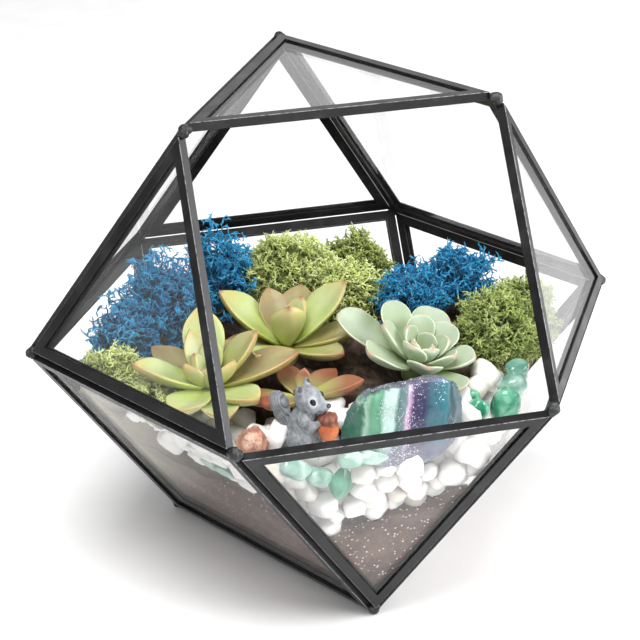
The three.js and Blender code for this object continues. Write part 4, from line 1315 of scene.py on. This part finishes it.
def makeSquirrel(material):
    bm = bmesh.new()
    for group in ("body", "head", "tail"):
        for form in bothSides(figurine[group]):
            addForm(bm, form)
    bm = remeshed(bm, figurine["voxel"])
    smoothSkin(bm, 0.5, 3)
    paint = bm.verts.layers.float_vector.new("paint")
    carved = []
    for vert in bm.verts:
        p = vert.co / mm
        side = Vector((p.x, abs(p.y), p.z))
        wash, cut = 0.0, 0.0
        if p.x < -5.2 + 0.05 * p.z and p.z > 2:
            # long curved locks along the tail
            comb = math.sin((p.z * 0.75 + (p.x + 9.5) * 1.5 + abs(p.y) * 0.5) * 4.6)
            cut = 0.26 * max(0.0, -comb) ** 0.7
        elif p.z < 15 and p.x < 4.5:
            # short carved strokes down the back and haunches
            turn = math.atan2(p.y, p.x + 0.01)
            stroke = math.sin(turn * 15 + math.sin(p.z * 1.3) * 1.2) * math.sin(p.z * 2.1 + turn * 4)
            cut = 0.2 * max(0.0, stroke - 0.25)
        elif p.z > 15 and p.x < 5:
            stroke = math.sin(p.y * 3.4 + p.x) * math.sin(p.x * 1.9 + p.z)
            cut = 0.09 * max(0.0, stroke - 0.2)
        mouth = nearSegment(side, (9.3, 0.5, 15.75), (6.3, 2.35, 15.5))
        if mouth < 0.42:
            cut, wash = 0.35 * (1 - mouth / 0.42), 0.9 * (1 - mouth / 0.42)
        ear = (side - Vector((1.2, 3.9, 23.6))).length
        if ear < 1.5 and vert.normal.x > 0.25 and p.z > 21.6:
            cut, wash = max(cut, 0.35 * (1 - ear / 1.6)), 0.75
        ring = (side - Vector((5.7, 3.7, 19.3))).length
        pale = smoothStep(ring, 2.2, 1.5)
        carved.append((vert, cut))
        vert[paint] = (min(1, wash + cut * 2.2), 0.0, pale)
    for vert, cut in carved:
        vert.co -= vert.normal * cut * mm
    for form in list(bothSides([figurine["eye"]])) + [figurine["nose"]]:
        for vert in addForm(bm, form, (16, 12)):
            vert[paint] = (0.0, 1.0 if form is not figurine["nose"] else 0.8, 0.0)
    bmesh.ops.transform(bm, matrix=figurePlace(), verts=bm.verts)
    makePiece(bm, "squirrel", material, ["squirrel"])


def figurePlace():
    turn = Matrix.Rotation(math.radians(figurine["facing"]), 4, "Z")
    place = Matrix.Translation(Vector(figurine["place"]) * mm)
    return place @ turn @ Matrix.Diagonal((1, 1, figurine["tall"], 1))


def makeAcorn(material):
    bm = bmesh.new()
    for part in ("nut", "point", "cup", "stem"):
        addForm(bm, acorn[part])
    bm = remeshed(bm, acorn["voxel"])
    smoothSkin(bm, 0.5, 2)
    paint = bm.verts.layers.float_vector.new("paint")
    for vert in bm.verts:
        p = vert.co / mm
        height = p.z + (p.x - 9) * 0.14
        cup = smoothStep(height, 11.3, 11.6)
        turn = math.atan2(p.y, p.x - 9)
        scales = math.sin(turn * 9 + math.floor(height * 1.6) * math.pi) * math.sin(height * 1.6 * math.pi)
        vert.co += vert.normal * cup * (0.1 + 0.12 * scales) * mm
        vert[paint] = (cup, max(0.0, -scales) * cup, 0.0)
    bmesh.ops.transform(bm, matrix=figurePlace(), verts=bm.verts)
    makePiece(bm, "acorn", material, ["acorn"])


def castResinMaterial():
    # cast resin painted dove grey: matt, with a dark wash left in the carving and varnished eyes and nose
    material, tree, surface, place = startMaterial("paintedGreyResin", {"Specular IOR Level": 0.4})
    wash, varnish, pale = mapParts(tree, "paint")
    cloud = addNode(tree, "TexNoise", {"Vector": place, "Scale": 500.0, "Detail": 5.0})
    colour = addNode(tree, "ValToRGB", {
        "Fac": cloud, "stops": [(0.3, "#6c7074"), (0.5, "#84888c"), (0.7, "#9c9fa3")],
    })
    ring = addNode(tree, "Math", {0: pale, 1: 0.5, "operation": "MULTIPLY"})
    for share, tone in ((ring, "#c4c7ca"), (wash, "#3b3a44"), (varnish, "#0c0e1a")):
        colour = addNode(tree, "Mix", {"data_type": "RGBA", 0: share, 6: colour, 7: tone})
    tree.links.new(colour, surface["Base Color"])
    addNode(tree, "MapRange", {0: varnish, 1: 0.3, 2: 0.8, 3: 0.62, 4: 0.12}, surface["Roughness"])
    addNode(tree, "Bump", {"Height": cloud, "Strength": 0.3, "Distance": 0.25 * mm}, surface["Normal"])
    return material


def acornMaterial():
    # painted resin acorn: satin orange nut under a matt red-brown cup with darker seams
    material, tree, surface, place = startMaterial("paintedAcornResin", {})
    cup, seam, _ = mapParts(tree, "paint")
    cloud = addNode(tree, "TexNoise", {"Vector": place, "Scale": 300.0, "Detail": 4.0})
    nut = addNode(tree, "ValToRGB", {
        "Fac": cloud, "stops": [(0.3, "#a8542a"), (0.55, "#c46c3c"), (0.75, "#dc9464")],
    })
    scales = addNode(tree, "ValToRGB", {"Fac": cloud, "stops": [(0.3, "#6c3a2c"), (0.7, "#8c5440")]})
    seamed = addNode(tree, "Mix", {"data_type": "RGBA", 0: seam, 6: scales, 7: "#4d231b"})
    addNode(tree, "Mix", {"data_type": "RGBA", 0: cup, 6: nut, 7: seamed}, surface["Base Color"])
    addNode(tree, "MapRange", {0: cup, 3: 0.35, 4: 0.6}, surface["Roughness"])
    addNode(tree, "Bump", {"Height": cloud, "Strength": 0.2, "Distance": 0.2 * mm}, surface["Normal"])
    return material


makeSquirrel(castResinMaterial())
makeAcorn(acornMaterial())
print("squirrel cast")
